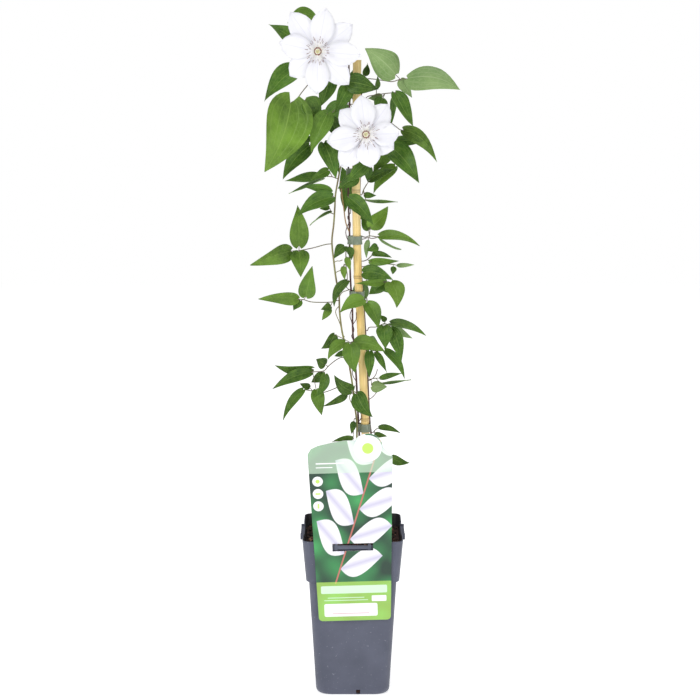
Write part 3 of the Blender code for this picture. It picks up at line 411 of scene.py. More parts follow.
# Inward faces above the ledge, the inner walls that show above the soil, get a near-black finish: painted
# shade inside the pot
pot_inside_painted_shade, _, _ = new_material("pot_inside_painted_shade", POT_INSIDE_SHADE, 0.6)
pot.data.materials.clear()
pot.data.materials.append(pot_plastic)
pot.data.materials.append(pot_inside_painted_shade)
for polygon in pot.data.polygons:
    outward = Vector((polygon.center.x, polygon.center.y, 0.0)).normalized()
    above_ledge = polygon.center.z > (COLLAR_FOOT + wall + INSIDE_LEDGE) * MM
    polygon.material_index = 1 if above_ledge and polygon.normal.dot(outward) < -0.5 else 0
soften(pot.data, 30.0)
dress(pot, "pot_plastic", "pot")

# Soil
# Bark compost fills the pot to a finger's width below its rim: a dark, damp fill with the holes that the
# cane and stems stand in, strewn with loose chips and fibres of bark.
CHIP_DENSITY = 130000.0
CHIP_SEED = 4
CHIP_SIZE = (5.5, 1.7, 0.9)
CHIP_UNEVEN = 0.35
CHIP_LEAST_TURN = (-0.5, -0.5, 0.0)
CHIP_MOST_TURN = (0.5, 0.5, 6.283)
CHIP_LEAST_SCALE = (0.35, 0.4, 0.4)
CHIP_MOST_SCALE = (1.5, 1.3, 1.2)
CHIP_FIELD_HALF = 49.0
CHIP_FIELD_HEIGHT = 168.6
BARK_DARK = colour_of(26, 17, 15)
BARK_RED = colour_of(110, 62, 42)
BARK_PALE = colour_of(186, 140, 112)


def geometry_tree(name, inputs):
    """An empty Geometry Nodes tree: the tree, what comes in by name, and the one socket that goes out."""
    made, entry, leave = node_group(name, "GeometryNodeTree", inputs, [("Geometry", "Geometry")])
    return made, entry, leave["Geometry"]


def end_with(tree, shape, finish, leave, faces=True):
    """The end of a tree: what it made becomes plain mesh, and its faces, or some of them, get a finish."""
    real = add(tree, "GeometryNodeRealizeInstances", {"Geometry": shape})
    finished = add(tree, "GeometryNodeSetMaterial", {
        "Geometry": real, "Selection": faces, "Material": finish})
    wire(tree, finished, leave)


def grow(piece, made, values):
    """Run a Geometry Nodes tree on a piece with the given inputs, and keep the result as its mesh."""
    modifier = piece.modifiers.new(made.name, "NODES")
    modifier.node_group = made
    for item in made.interface.items_tree:
        if item.in_out == "INPUT" and item.name in values:
            modifier[item.identifier] = values[item.name]
    return settle(piece)


bark, tree, shader = new_material("bark_compost", BARK_DARK, 0.95)
cloud = mottled(tree, BARK_DARK, BARK_RED, scale=260.0, amount=0.35)
wire(tree, cloud, shader.inputs["Base Color"])
relief(tree, shader, cloud.outputs["Height"], strength=0.8, depth=0.0015)
soil = frame["nodes"]["soil"]
soil.data.materials.clear()
soil.data.materials.append(bark)

chip_bark, tree, shader = new_material("bark_chips", BARK_RED, 0.85)
chip_tone = add(tree, "ShaderNodeAttribute", attribute_name="tone")
chip_ramp = add(tree, "ShaderNodeValToRGB", {"Fac": chip_tone.outputs["Fac"]})
chip_ramp.color_ramp.elements[0].position = 0.4
chip_ramp.color_ramp.elements[0].color = BARK_DARK
chip_ramp.color_ramp.elements[1].color = BARK_PALE
chip_ramp.color_ramp.elements.new(0.8).color = BARK_RED
cloud = mottled(tree, chip_ramp, BARK_DARK, scale=700.0, amount=0.6)
wire(tree, cloud, shader.inputs["Base Color"])
relief(tree, shader, cloud.outputs["Height"], strength=0.6, depth=0.0005)

chip_form = mesh_piece("chip_form", block(CHIP_SIZE, (0.0, 0.0, 0.0)), [chip_bark])
chip_cut = chip_form.modifiers.new("cuts", "SUBSURF")
chip_cut.subdivision_type = "SIMPLE"
settle(chip_form)
draw = random.Random(CHIP_SEED)
for vertex in chip_form.data.vertices:
    vertex.co += Vector([draw.uniform(-CHIP_UNEVEN, CHIP_UNEVEN) * MM for _ in range(3)])

strewing, entry, leave = geometry_tree("strewn_chips", (
    ("Ground", "Geometry"), ("Chip", "Object"), ("Density", "Float"), ("Seed", "Int"),
    ("Finish", "Material")))
spots = add(strewing, "GeometryNodeDistributePointsOnFaces", {
    "Mesh": entry["Ground"], "Density": entry["Density"], "Seed": entry["Seed"]})
tumble = add(strewing, "FunctionNodeRandomValue", {
    0: CHIP_LEAST_TURN, 1: CHIP_MOST_TURN, "Seed": entry["Seed"]}, data_type="FLOAT_VECTOR")
spread = add(strewing, "FunctionNodeRandomValue", {
    0: CHIP_LEAST_SCALE, 1: CHIP_MOST_SCALE, "Seed": entry["Seed"]}, data_type="FLOAT_VECTOR")
shade = add(strewing, "FunctionNodeRandomValue", {2: 0.0, 3: 1.0, "Seed": entry["Seed"]}, data_type="FLOAT")
chip = add(strewing, "GeometryNodeObjectInfo", {"Object": entry["Chip"], "As Instance": True})
strewn = add(strewing, "GeometryNodeInstanceOnPoints", {
    "Points": spots, "Instance": chip.outputs["Geometry"], "Rotation": tumble, "Scale": spread})
toned = add(strewing, "GeometryNodeStoreNamedAttribute", {
    "Geometry": strewn, "Name": "tone", "Value": shade.outputs[1]}, data_type="FLOAT", domain="INSTANCE")
end_with(strewing, toned, entry["Finish"], leave)

chip_field = bmesh.new()
bmesh.ops.create_grid(chip_field, x_segments=1, y_segments=1, size=CHIP_FIELD_HALF * MM,
                      matrix=Matrix.Translation((0.0, 0.0, CHIP_FIELD_HEIGHT * MM)))
chips = mesh_piece("bark_chips", chip_field, [])
grow(chips, strewing, {"Chip": chip_form, "Density": CHIP_DENSITY, "Seed": CHIP_SEED, "Finish": chip_bark})
bpy.data.objects.remove(chip_form, do_unlink=True)
dress(chips, "bark_soil")

# Cane
# One bamboo cane, dried to a golden tan and sawn off square at the top, where its hollow shows. It
# swells a little at its nodes, each of which has a dark ring. Its hollow is shut a little way down and
# is painted darker towards that floor in the ring's brown: painted shade.
CANE_RADIUS = 4.6
CANE_ROUTE = (
    (19.5, 62, 0), (17.7, 175, 0), (15.8, 240, 0), (13.4, 305, 0), (11.4, 350, 0), (9.2, 400, 0),
    (7.7, 430, 0), (5.6, 461, 0), (4.5, 500, 0), (3.9, 530, 0), (3.6, 556, 0), (3.9, 620, 0),
    (4.4, 676, 0), (4.5, 694, 0),
)
CANE_NODES = (305, 463, 556)
CANE_NODE_RISE = 0.45
CANE_BORE = 2.4
CANE_BORE_DEPTH = 12.0
CANE_STEP = 4.0
CANE_FINE_STEP = 0.7
CANE_NODE_REACH = 8.0
CANE_NODE_SPREAD = 2.2
CANE_RING_APART = 1.0
CANE_RING_SPREAD = 0.7
CANE_RING_SHARE = 0.55
CANE_SIDES = 32
CANE_TAN = colour_of(252, 216, 132)
CANE_GOLD = colour_of(255, 236, 178)
CANE_BROWN = colour_of(188, 142, 78)
CANE_RING_AND_BORE_SHADE = colour_of(104, 70, 40)


def along_route(route, height):
    """The point of a route of (x, z, y) places at a height, still in millimetres."""
    for low, high in zip(route, route[1:]):
        if low[1] <= height <= high[1]:
            share = (height - low[1]) / (high[1] - low[1])
            return tuple(a + (b - a) * share for a, b in zip(low, high))
    raise ValueError(f"no point of the route is at {height}")


def ring_at(centre, radius):
    """A level ring of points round a point in millimetres."""
    turns = [2.0 * math.pi * step / CANE_SIDES for step in range(CANE_SIDES)]
    return [(centre.x + radius * math.cos(turn), centre.y + radius * math.sin(turn), centre.z)
            for turn in turns]


bamboo, tree, shader = new_material("bamboo", CANE_TAN, 0.38, Coat_Weight=0.15, Coat_Roughness=0.3)
cloud = mottled(tree, CANE_TAN, CANE_GOLD, scale=45.0, amount=0.9, stretch=0.35)
grain = mottled(tree, cloud, CANE_BROWN, scale=800.0, amount=0.35, stretch=0.03)
# This attribute darkens the real rings at the nodes, and the hollow at the top, where it is painted shade
ring_and_bore_shade_mark = add(tree, "ShaderNodeAttribute", attribute_name="ring_and_bore_shade_mark")
ringed_and_bore_shaded = mixed(tree, ring_and_bore_shade_mark.outputs["Fac"], grain, CANE_RING_AND_BORE_SHADE)
wire(tree, ringed_and_bore_shaded, shader.inputs["Base Color"])
relief(tree, shader, grain.outputs["Height"], strength=0.25, depth=0.0003)

cane_rings = []
cane_ring_and_bore_shading = []
cane_height = CANE_ROUTE[0][1]
while cane_height < CANE_ROUTE[-1][1]:
    centre = seen_at(*along_route(CANE_ROUTE, cane_height)) / MM
    nearest = min(abs(cane_height - node) for node in CANE_NODES)
    rise = CANE_NODE_RISE * math.exp(-(nearest / CANE_NODE_SPREAD) ** 2)
    cane_rings.append(ring_at(centre, CANE_RADIUS + rise - 0.4 * CANE_NODE_RISE))
    cane_ring_and_bore_shading.append(math.exp(-((nearest - CANE_RING_APART) / CANE_RING_SPREAD) ** 2) * CANE_RING_SHARE)
    cane_height += CANE_FINE_STEP if nearest < CANE_NODE_REACH else CANE_STEP
top = seen_at(*CANE_ROUTE[-1]) / MM
# The hollow's wall darkens from its mouth down to a closed floor that takes the ring's brown in full:
# painted shade, with a dark floor standing in for the hollow's depth
for radius, drop in ((CANE_RADIUS, 0.4), (CANE_RADIUS - 0.3, 0.0), (CANE_BORE + 0.3, 0.0), (CANE_BORE, 0.4),
                     (CANE_BORE, CANE_BORE_DEPTH)):
    cane_rings.append(ring_at(top - Vector((0.0, 0.0, drop)), radius))
    cane_ring_and_bore_shading.append(0.0 if drop < CANE_BORE_DEPTH else 1.0)
cane = mesh_piece("cane", loft(cane_rings), [bamboo], 50.0)
marks = cane.data.attributes.new("ring_and_bore_shade_mark", "FLOAT", "POINT")
marks.data.foreach_set("value", [mark for mark in cane_ring_and_bore_shading for _ in range(CANE_SIDES)])
dress(cane, "bamboo", "cane")

# Stems
# Three climbing stems root in the soil and run up round the cane: a young pale green one that swings out
# to the left, and two older, purple-brown woody ones that stay close. A tan side branch leaves one.
STEMS = {
    "stem_left": (1.2, (
        (5, 148, -6), (5, 172, -6), (4, 230, -5), (4.6, 285, -4), (4.6, 300, -4), (2.5, 318, -5),
        (-0.5, 345, -5), (-5, 372, -4), (-9, 391, -4), (-12, 405, -4), (-14.3, 425, -4), (-15, 445, -4),
        (-18, 460, -4), (-20.5, 480, -4), (-22.5, 501, -4), (-20.5, 520, -4), (-19.3, 538, -4),
        (-18.5, 552, -4), (-15, 572, -3), (-12, 590, -2), (-11, 620, 0), (-12, 648, 2),
    )),
    "stem_twining": (1.2, (
        (10, 148, 5), (10, 172, 5), (8.4, 230, 4), (7.3, 285, 2), (6.5, 300, 1), (5.4, 318, 1),
        (4.2, 345, 1), (3.2, 362, 1), (1.8, 385, 0), (0.2, 400, 0), (-0.2, 412, 0), (-0.4, 428, 1),
        (-1.4, 442, 1), (-2.4, 458, 1), (-3.0, 474, 0), (-3.4, 490, 0), (-3.4, 505, 0), (-3.8, 520, 0),
        (-4.4, 535, 0), (-4.8, 550, 1), (-4.8, 575, 2), (-4.2, 600, 2), (-3.6, 630, 2), (-3.6, 660, 2),
        (-4.2, 690, 3),
    )),
    "stem_back": (1.15, (
        (27, 148, 6), (27, 172, 6), (23.5, 230, 7), (20.4, 285, 7), (18.6, 305, 7.5), (16.4, 350, 7.5),
        (14, 400, 7.5), (12, 430, 7.5), (9.6, 463, 7.5), (8, 500, 7.5), (7.4, 530, 7.5), (7.6, 560, 7.5),
        (8.6, 600, 7.5), (9, 640, 7.5), (9, 672, 6.5),
    )),
}
STEM_TIP_SCALE = 0.7
SHOOT_RADIUS = 0.45
# Short side shoots that coil round their stem or the cane, by the stem that they leave
SIDE_SHOOTS = {
    "stem_left": (
        ((-20.0, 479.0, -4), (-16.5, 480.4, -4), (-13.3, 480.2, -4), (-11.1, 481.3, -4)),
        ((-19.0, 467.3, -4), (-16.1, 468.9, -4), (-13.4, 470.0, -4), (-10.9, 472.7, -4), (-9.1, 477.2, -4)),
        ((-14.8, 431.0, -4), (-18.4, 426.5, -6), (-18.2, 422.0, -6), (-15.9, 416.3, -6), (-13.5, 410.1, -5),
         (-11.8, 403.1, -4)),
        ((-15.2, 439.5, -4), (-12.0, 445.4, -4), (-7.1, 447.8, -4), (-3.0, 449.0, -4)),
        ((-5.6, 375.0, -4), (-3.0, 381.0, -6), (-6.0, 387.0, -6), (-10.4, 392.0, -3), (-9.0, 398.0, -2)),
        ((2.6, 318.0, -5), (-2.0, 324.0, -8), (-3.5, 331.0, -7), (0.5, 337.0, -4), (2.5, 343.0, -4)),
    ),
    "stem_twining": (
        ((-0.2, 408.5, 0), (-1.4, 414.2, 0), (-2.8, 418.3, 0), (-2.9, 422.0, 0), (-1.2, 427.0, 0)),
        ((-0.2, 409.5, 0), (1.7, 413.0, -5), (3.3, 415.1, -6), (3.9, 418.3, -6), (3.7, 424.0, -6)),
        ((0.0, 410.0, 0), (1.3, 405.4, -2), (0.8, 401.8, -2), (-1.4, 398.1, 0), (0.1, 394.4, 2),
         (1.6, 390.0, 0)),
        ((-2.0, 460.5, 0), (-4.4, 456.5, -3), (-6.6, 453.8, -3), (-6.6, 451.1, -3), (-3.4, 448.7, -3),
         (0.0, 448.4, -2)),
        ((-4.4, 539.0, 0), (-2.3, 535.4, -2), (-2.6, 531.8, -2), (-5.4, 528.7, -1), (-5.0, 525.1, 1),
         (-2.4, 521.0, 0), (-3.4, 514.0, 0)),
        ((-3.4, 500.0, 0), (-6.4, 505.5, -3), (-7.6, 512.0, -4), (-5.8, 518.0, -3), (-3.8, 522.0, 0)),
        ((4.1, 347.0, 1), (1.0, 352.0, -2), (-0.5, 358.0, -3), (2.0, 364.0, -1), (4.5, 369.0, 1),
         (2.6, 376.0, 0)),
        ((6.4, 302.0, 1), (9.4, 307.0, -5), (8.2, 313.0, -6), (3.0, 318.0, -3), (2.5, 325.0, 0),
         (5.0, 330.0, 1)),
    ),
    "stem_back": (
        ((7.9, 503.0, 7.5), (13.2, 504.6, 4), (16.7, 505.8, 4), (20.3, 504.6, 4), (25.7, 505.6, 4)),
        ((16.4, 348.0, 7.5), (20.5, 349.5, 4), (25.0, 354.5, 3), (27.0, 361.0, 3)),
        ((17.6, 327.0, 7.5), (22.0, 330.0, 5), (27.0, 336.0, 4)),
    ),
}
BRANCH_ROUTE = ((-3.9, 512, 0), (-7.6, 522, -4.4), (-9.8, 538, -5), (-12.2, 556, -6), (-12.8, 566, -6.5))
BRANCH_RADIUS = 0.7
BRANCH_TIP_SCALE = 0.8
STEM_SIDES = 12
STEM_STEP = 2.5
STEM_LOOKS = {
    "stem_left": (colour_of(156, 164, 96), colour_of(120, 98, 74), "green_stem"),
    "stem_twining": (colour_of(104, 72, 68), colour_of(70, 44, 42), "brown_stem"),
    "stem_back": (colour_of(122, 92, 74), colour_of(84, 56, 48), "brown_stem"),
    "stem_branch": (colour_of(176, 148, 98), colour_of(138, 104, 70), "brown_stem"),
}

# What follows a path is a tube along it: the tree smooths each path and gives it its own thickness.
tubes, entry, leave = geometry_tree("tubes_along_paths", (
    ("Paths", "Geometry"), ("Step", "Float"), ("Sides", "Int"), ("Finish", "Material")))
curves = add(tubes, "GeometryNodeMeshToCurve", {"Mesh": entry["Paths"]})
rounded = add(tubes, "GeometryNodeCurveSplineType", {"Curve": curves}, spline_type="CATMULL_ROM")
even = add(tubes, "GeometryNodeResampleCurve", {"Curve": rounded, "Length": entry["Step"]}, mode="LENGTH")
thickness = add(tubes, "GeometryNodeInputNamedAttribute", {"Name": "thickness"}, data_type="FLOAT")
outline = add(tubes, "GeometryNodeCurvePrimitiveCircle", {"Resolution": entry["Sides"], "Radius": 1.0})
tube = add(tubes, "GeometryNodeCurveToMesh", {
    "Curve": even, "Profile Curve": outline, "Scale": thickness, "Fill Caps": True})
end_with(tubes, tube, entry["Finish"], leave)


def path_piece(name, paths):
    """An object that holds paths of (point, radius) pairs, as edges, for the tree of tubes."""
    places, links, widths = [], [], []
    for path in paths:
        first = len(places)
        places += [point for point, _ in path]
        widths += [radius for _, radius in path]
        links += [(index, index + 1) for index in range(first, len(places) - 1)]
    mesh = bpy.data.meshes.new(name)
    mesh.from_pydata(places, links, [])
    mesh.attributes.new("thickness", "FLOAT", "POINT").data.foreach_set("value", widths)
    return piece_of(name, mesh)


def bark_finish(name, colour, second):
    """A thin stem's finish: upright fibres, and cloudy darker stretches."""
    material, tree, shader = new_material(name, colour, 0.6)
    cloud = mottled(tree, colour, second, scale=50.0, amount=0.9)
    grain = mottled(tree, cloud, second, scale=1500.0, amount=0.5, stretch=0.06)
    wire(tree, grain, shader.inputs["Base Color"])
    relief(tree, shader, grain.outputs["Height"], strength=0.5, depth=0.0003)
    return material


def stem_axis(name, height):
    """The middle of a stem at a height on the cane's plane."""
    return seen_at(*along_route(STEMS[name][1], height))


def stem_path(route, radius, tip_scale):
    """A stem's points with radii that shrink evenly to its tip."""
    start, end = route[0][1], route[-1][1]
    return [(seen_at(*place), radius * MM * (1.0 + (tip_scale - 1.0) * (place[1] - start) / (end - start)))
            for place in route]


stem_routes = {name: stem_path(route, radius, STEM_TIP_SCALE) for name, (radius, route) in STEMS.items()}
stem_routes["stem_branch"] = stem_path(BRANCH_ROUTE, BRANCH_RADIUS, BRANCH_TIP_SCALE)
for name, path in stem_routes.items():
    colour, second, slot = STEM_LOOKS[name]
    shoots = [[(seen_at(*place), SHOOT_RADIUS * MM) for place in shoot]
              for shoot in SIDE_SHOOTS.get(name, ())]
    stem = path_piece(name, [path, *shoots])
    grow(stem, tubes, {"Step": STEM_STEP * MM, "Sides": STEM_SIDES,
                       "Finish": bark_finish(name + "_bark", colour, second)})
    soften(stem.data, 60.0)
    dress(stem, slot, name)

# Ties
# Four bands of grey-green plant tape, pulled round the cane and the stem beside it. The film is thin,
# a little see-through and lightly ribbed, with edges that stand off.
TIE_HEIGHT = 9.0
TIE_PLAY = 0.6
TIE_THICKNESS = 0.5
TIE_FLARE = 0.35
TIE_ROWS = 7
TIES = ((575, "stem_twining"), (503, "stem_twining"), (443, "stem_twining"), (295.5, "stem_twining"))
TIE_GREY = colour_of(108, 122, 100)
TIE_PALE = colour_of(176, 188, 168)


def arc(centre, radius, start, end, steps):
    """Points round a circle from one angle to another, in degrees."""
    points = []
    for step in range(steps + 1):
        angle = math.radians(start + (end - start) * step / steps)
        points.append((centre[0] + radius * math.cos(angle), centre[1] + radius * math.sin(angle)))
    return points


def belt(place_a, radius_a, place_b, radius_b, steps=20):
    """The outline of a band pulled round two circles."""
    away = Vector((place_b[0] - place_a[0], place_b[1] - place_a[1]))
    heading = math.degrees(math.atan2(away.y, away.x))
    spread = math.degrees(math.acos((radius_a - radius_b) / away.length))
    return (arc(place_a, radius_a, heading + spread, heading + 360 - spread, steps)
            + arc(place_b, radius_b, heading - spread, heading + spread, steps // 2))


tie_film, tree, shader = new_material("tie_film", TIE_GREY, 0.28, Alpha=0.86, Coat_Weight=0.2)
grain = mottled(tree, TIE_GREY, TIE_PALE, scale=420.0, amount=0.5, stretch=0.2)
wire(tree, grain, shader.inputs["Base Color"])
relief(tree, shader, grain.outputs["Height"], strength=0.3, depth=0.0004)

for number, (height, stem) in enumerate(TIES, start=1):
    middle = seen_at(*along_route(CANE_ROUTE, height)) / MM
    held = stem_axis(stem, height) / MM
    outer_rings, inner_rings = [], []
    for row in range(TIE_ROWS):
        share = row / (TIE_ROWS - 1)
        level = middle.z + (share - 0.5) * TIE_HEIGHT
        flare = TIE_FLARE * abs(2.0 * share - 1.0) ** 3
        for rings, extra in ((outer_rings, TIE_THICKNESS), (inner_rings, 0.0)):
            play = TIE_PLAY + extra + flare
            band = belt(middle, CANE_RADIUS + play, held, STEMS[stem][0] + play)
            rings.append([(x, y, level) for x, y in band])
    shape = loft(outer_rings + inner_rings[::-1])
    ends = [face for face in shape.faces if len(face.verts) > 4]
    bmesh.ops.delete(shape, geom=ends, context="FACES_ONLY")
    rim = [edge for edge in shape.edges if edge.is_boundary]
    bmesh.ops.bridge_loops(shape, edges=rim)
    bmesh.ops.recalc_face_normals(shape, faces=shape.faces)
    tie = mesh_piece(f"tie_{number}", shape, [tie_film], 50.0)
    dress(tie, "tie_band", f"tie_{number}")

# Leaves
# Compound leaves, each of one or a few leaflets on thin stalks. A leaflet is a soft thin blade: glossy
# above with sunk veins that run from foot to tip, pale and dull beneath.
PETIOLE_RADIUS = 0.55
PETIOLULE_RADIUS = 0.4
LEAF_THICKNESS = 0.45
LEAF_FOLD = math.radians(19.0)
LEAF_RUFFLE = 1.6
LEAF_RUFFLE_SEED = 3.0
LEAF_RUFFLES_A_METRE = 38.0
PETIOLE_STEP = 2.0
PETIOLE_SIDES = 6
SPROUT_DEPTH = 0.6
SPROUT_REACH = 1.9
SPROUT_RUN = 2.0
MIDRIB_REACH = 0.12
MIDRIB_SCALE = 0.3
BROAD_LEAFLET = 20.0
SMALL_LEAFLET = 5.0
RIPPLE_ALONG = 7.0
RIPPLE_ACROSS = 1.7
RIPPLE_GROWTH = 6.0
SIDE_VEINS = (0.4, 0.76)
SIDE_VEIN_THINNER = 0.022
VEIN_STRENGTH = 0.6
NET_CELLS = (9.0, 12.0, 1.0)
NET_LINE = 0.09
BLADE_COLUMNS = 6
BLADE_ROWS = 14
BLADE_CROWDING = 1.9
BLADE_UNTWISTED = 0.3
# Wave, lobes, least width, twist and curl of each blade form: the first is for broad leaflets, the next
# three are for middling ones and the last two for small ones
LEAF_BLADES = (
    (0.05, 0.14, 0.03, -0.25, 0.15), (0.06, 0.09, 0.05, 0.4, 0.2), (0.07, 0.07, 0.06, -0.5, 0.15),
    (0.09, 0.06, 0.06, 0.15, 0.1), (0.08, 0.05, 0.1, -0.3, 0.3), (0.1, 0.05, 0.1, 0.5, 0.2),
)
LEAF_DARK = colour_of(16, 50, 8)
LEAF_MID = colour_of(74, 118, 36)
LEAF_BRIGHT = colour_of(130, 168, 62)
LEAF_PALE = colour_of(142, 170, 108)
LEAF_PALE_SHADE = colour_of(98, 134, 70)
LEAF_VEIN = colour_of(150, 182, 90)
LEAF_PALE_VEIN = colour_of(178, 198, 150)
PETIOLE_GREEN = colour_of(124, 130, 84)
PETIOLE_TAN = colour_of(104, 78, 80)

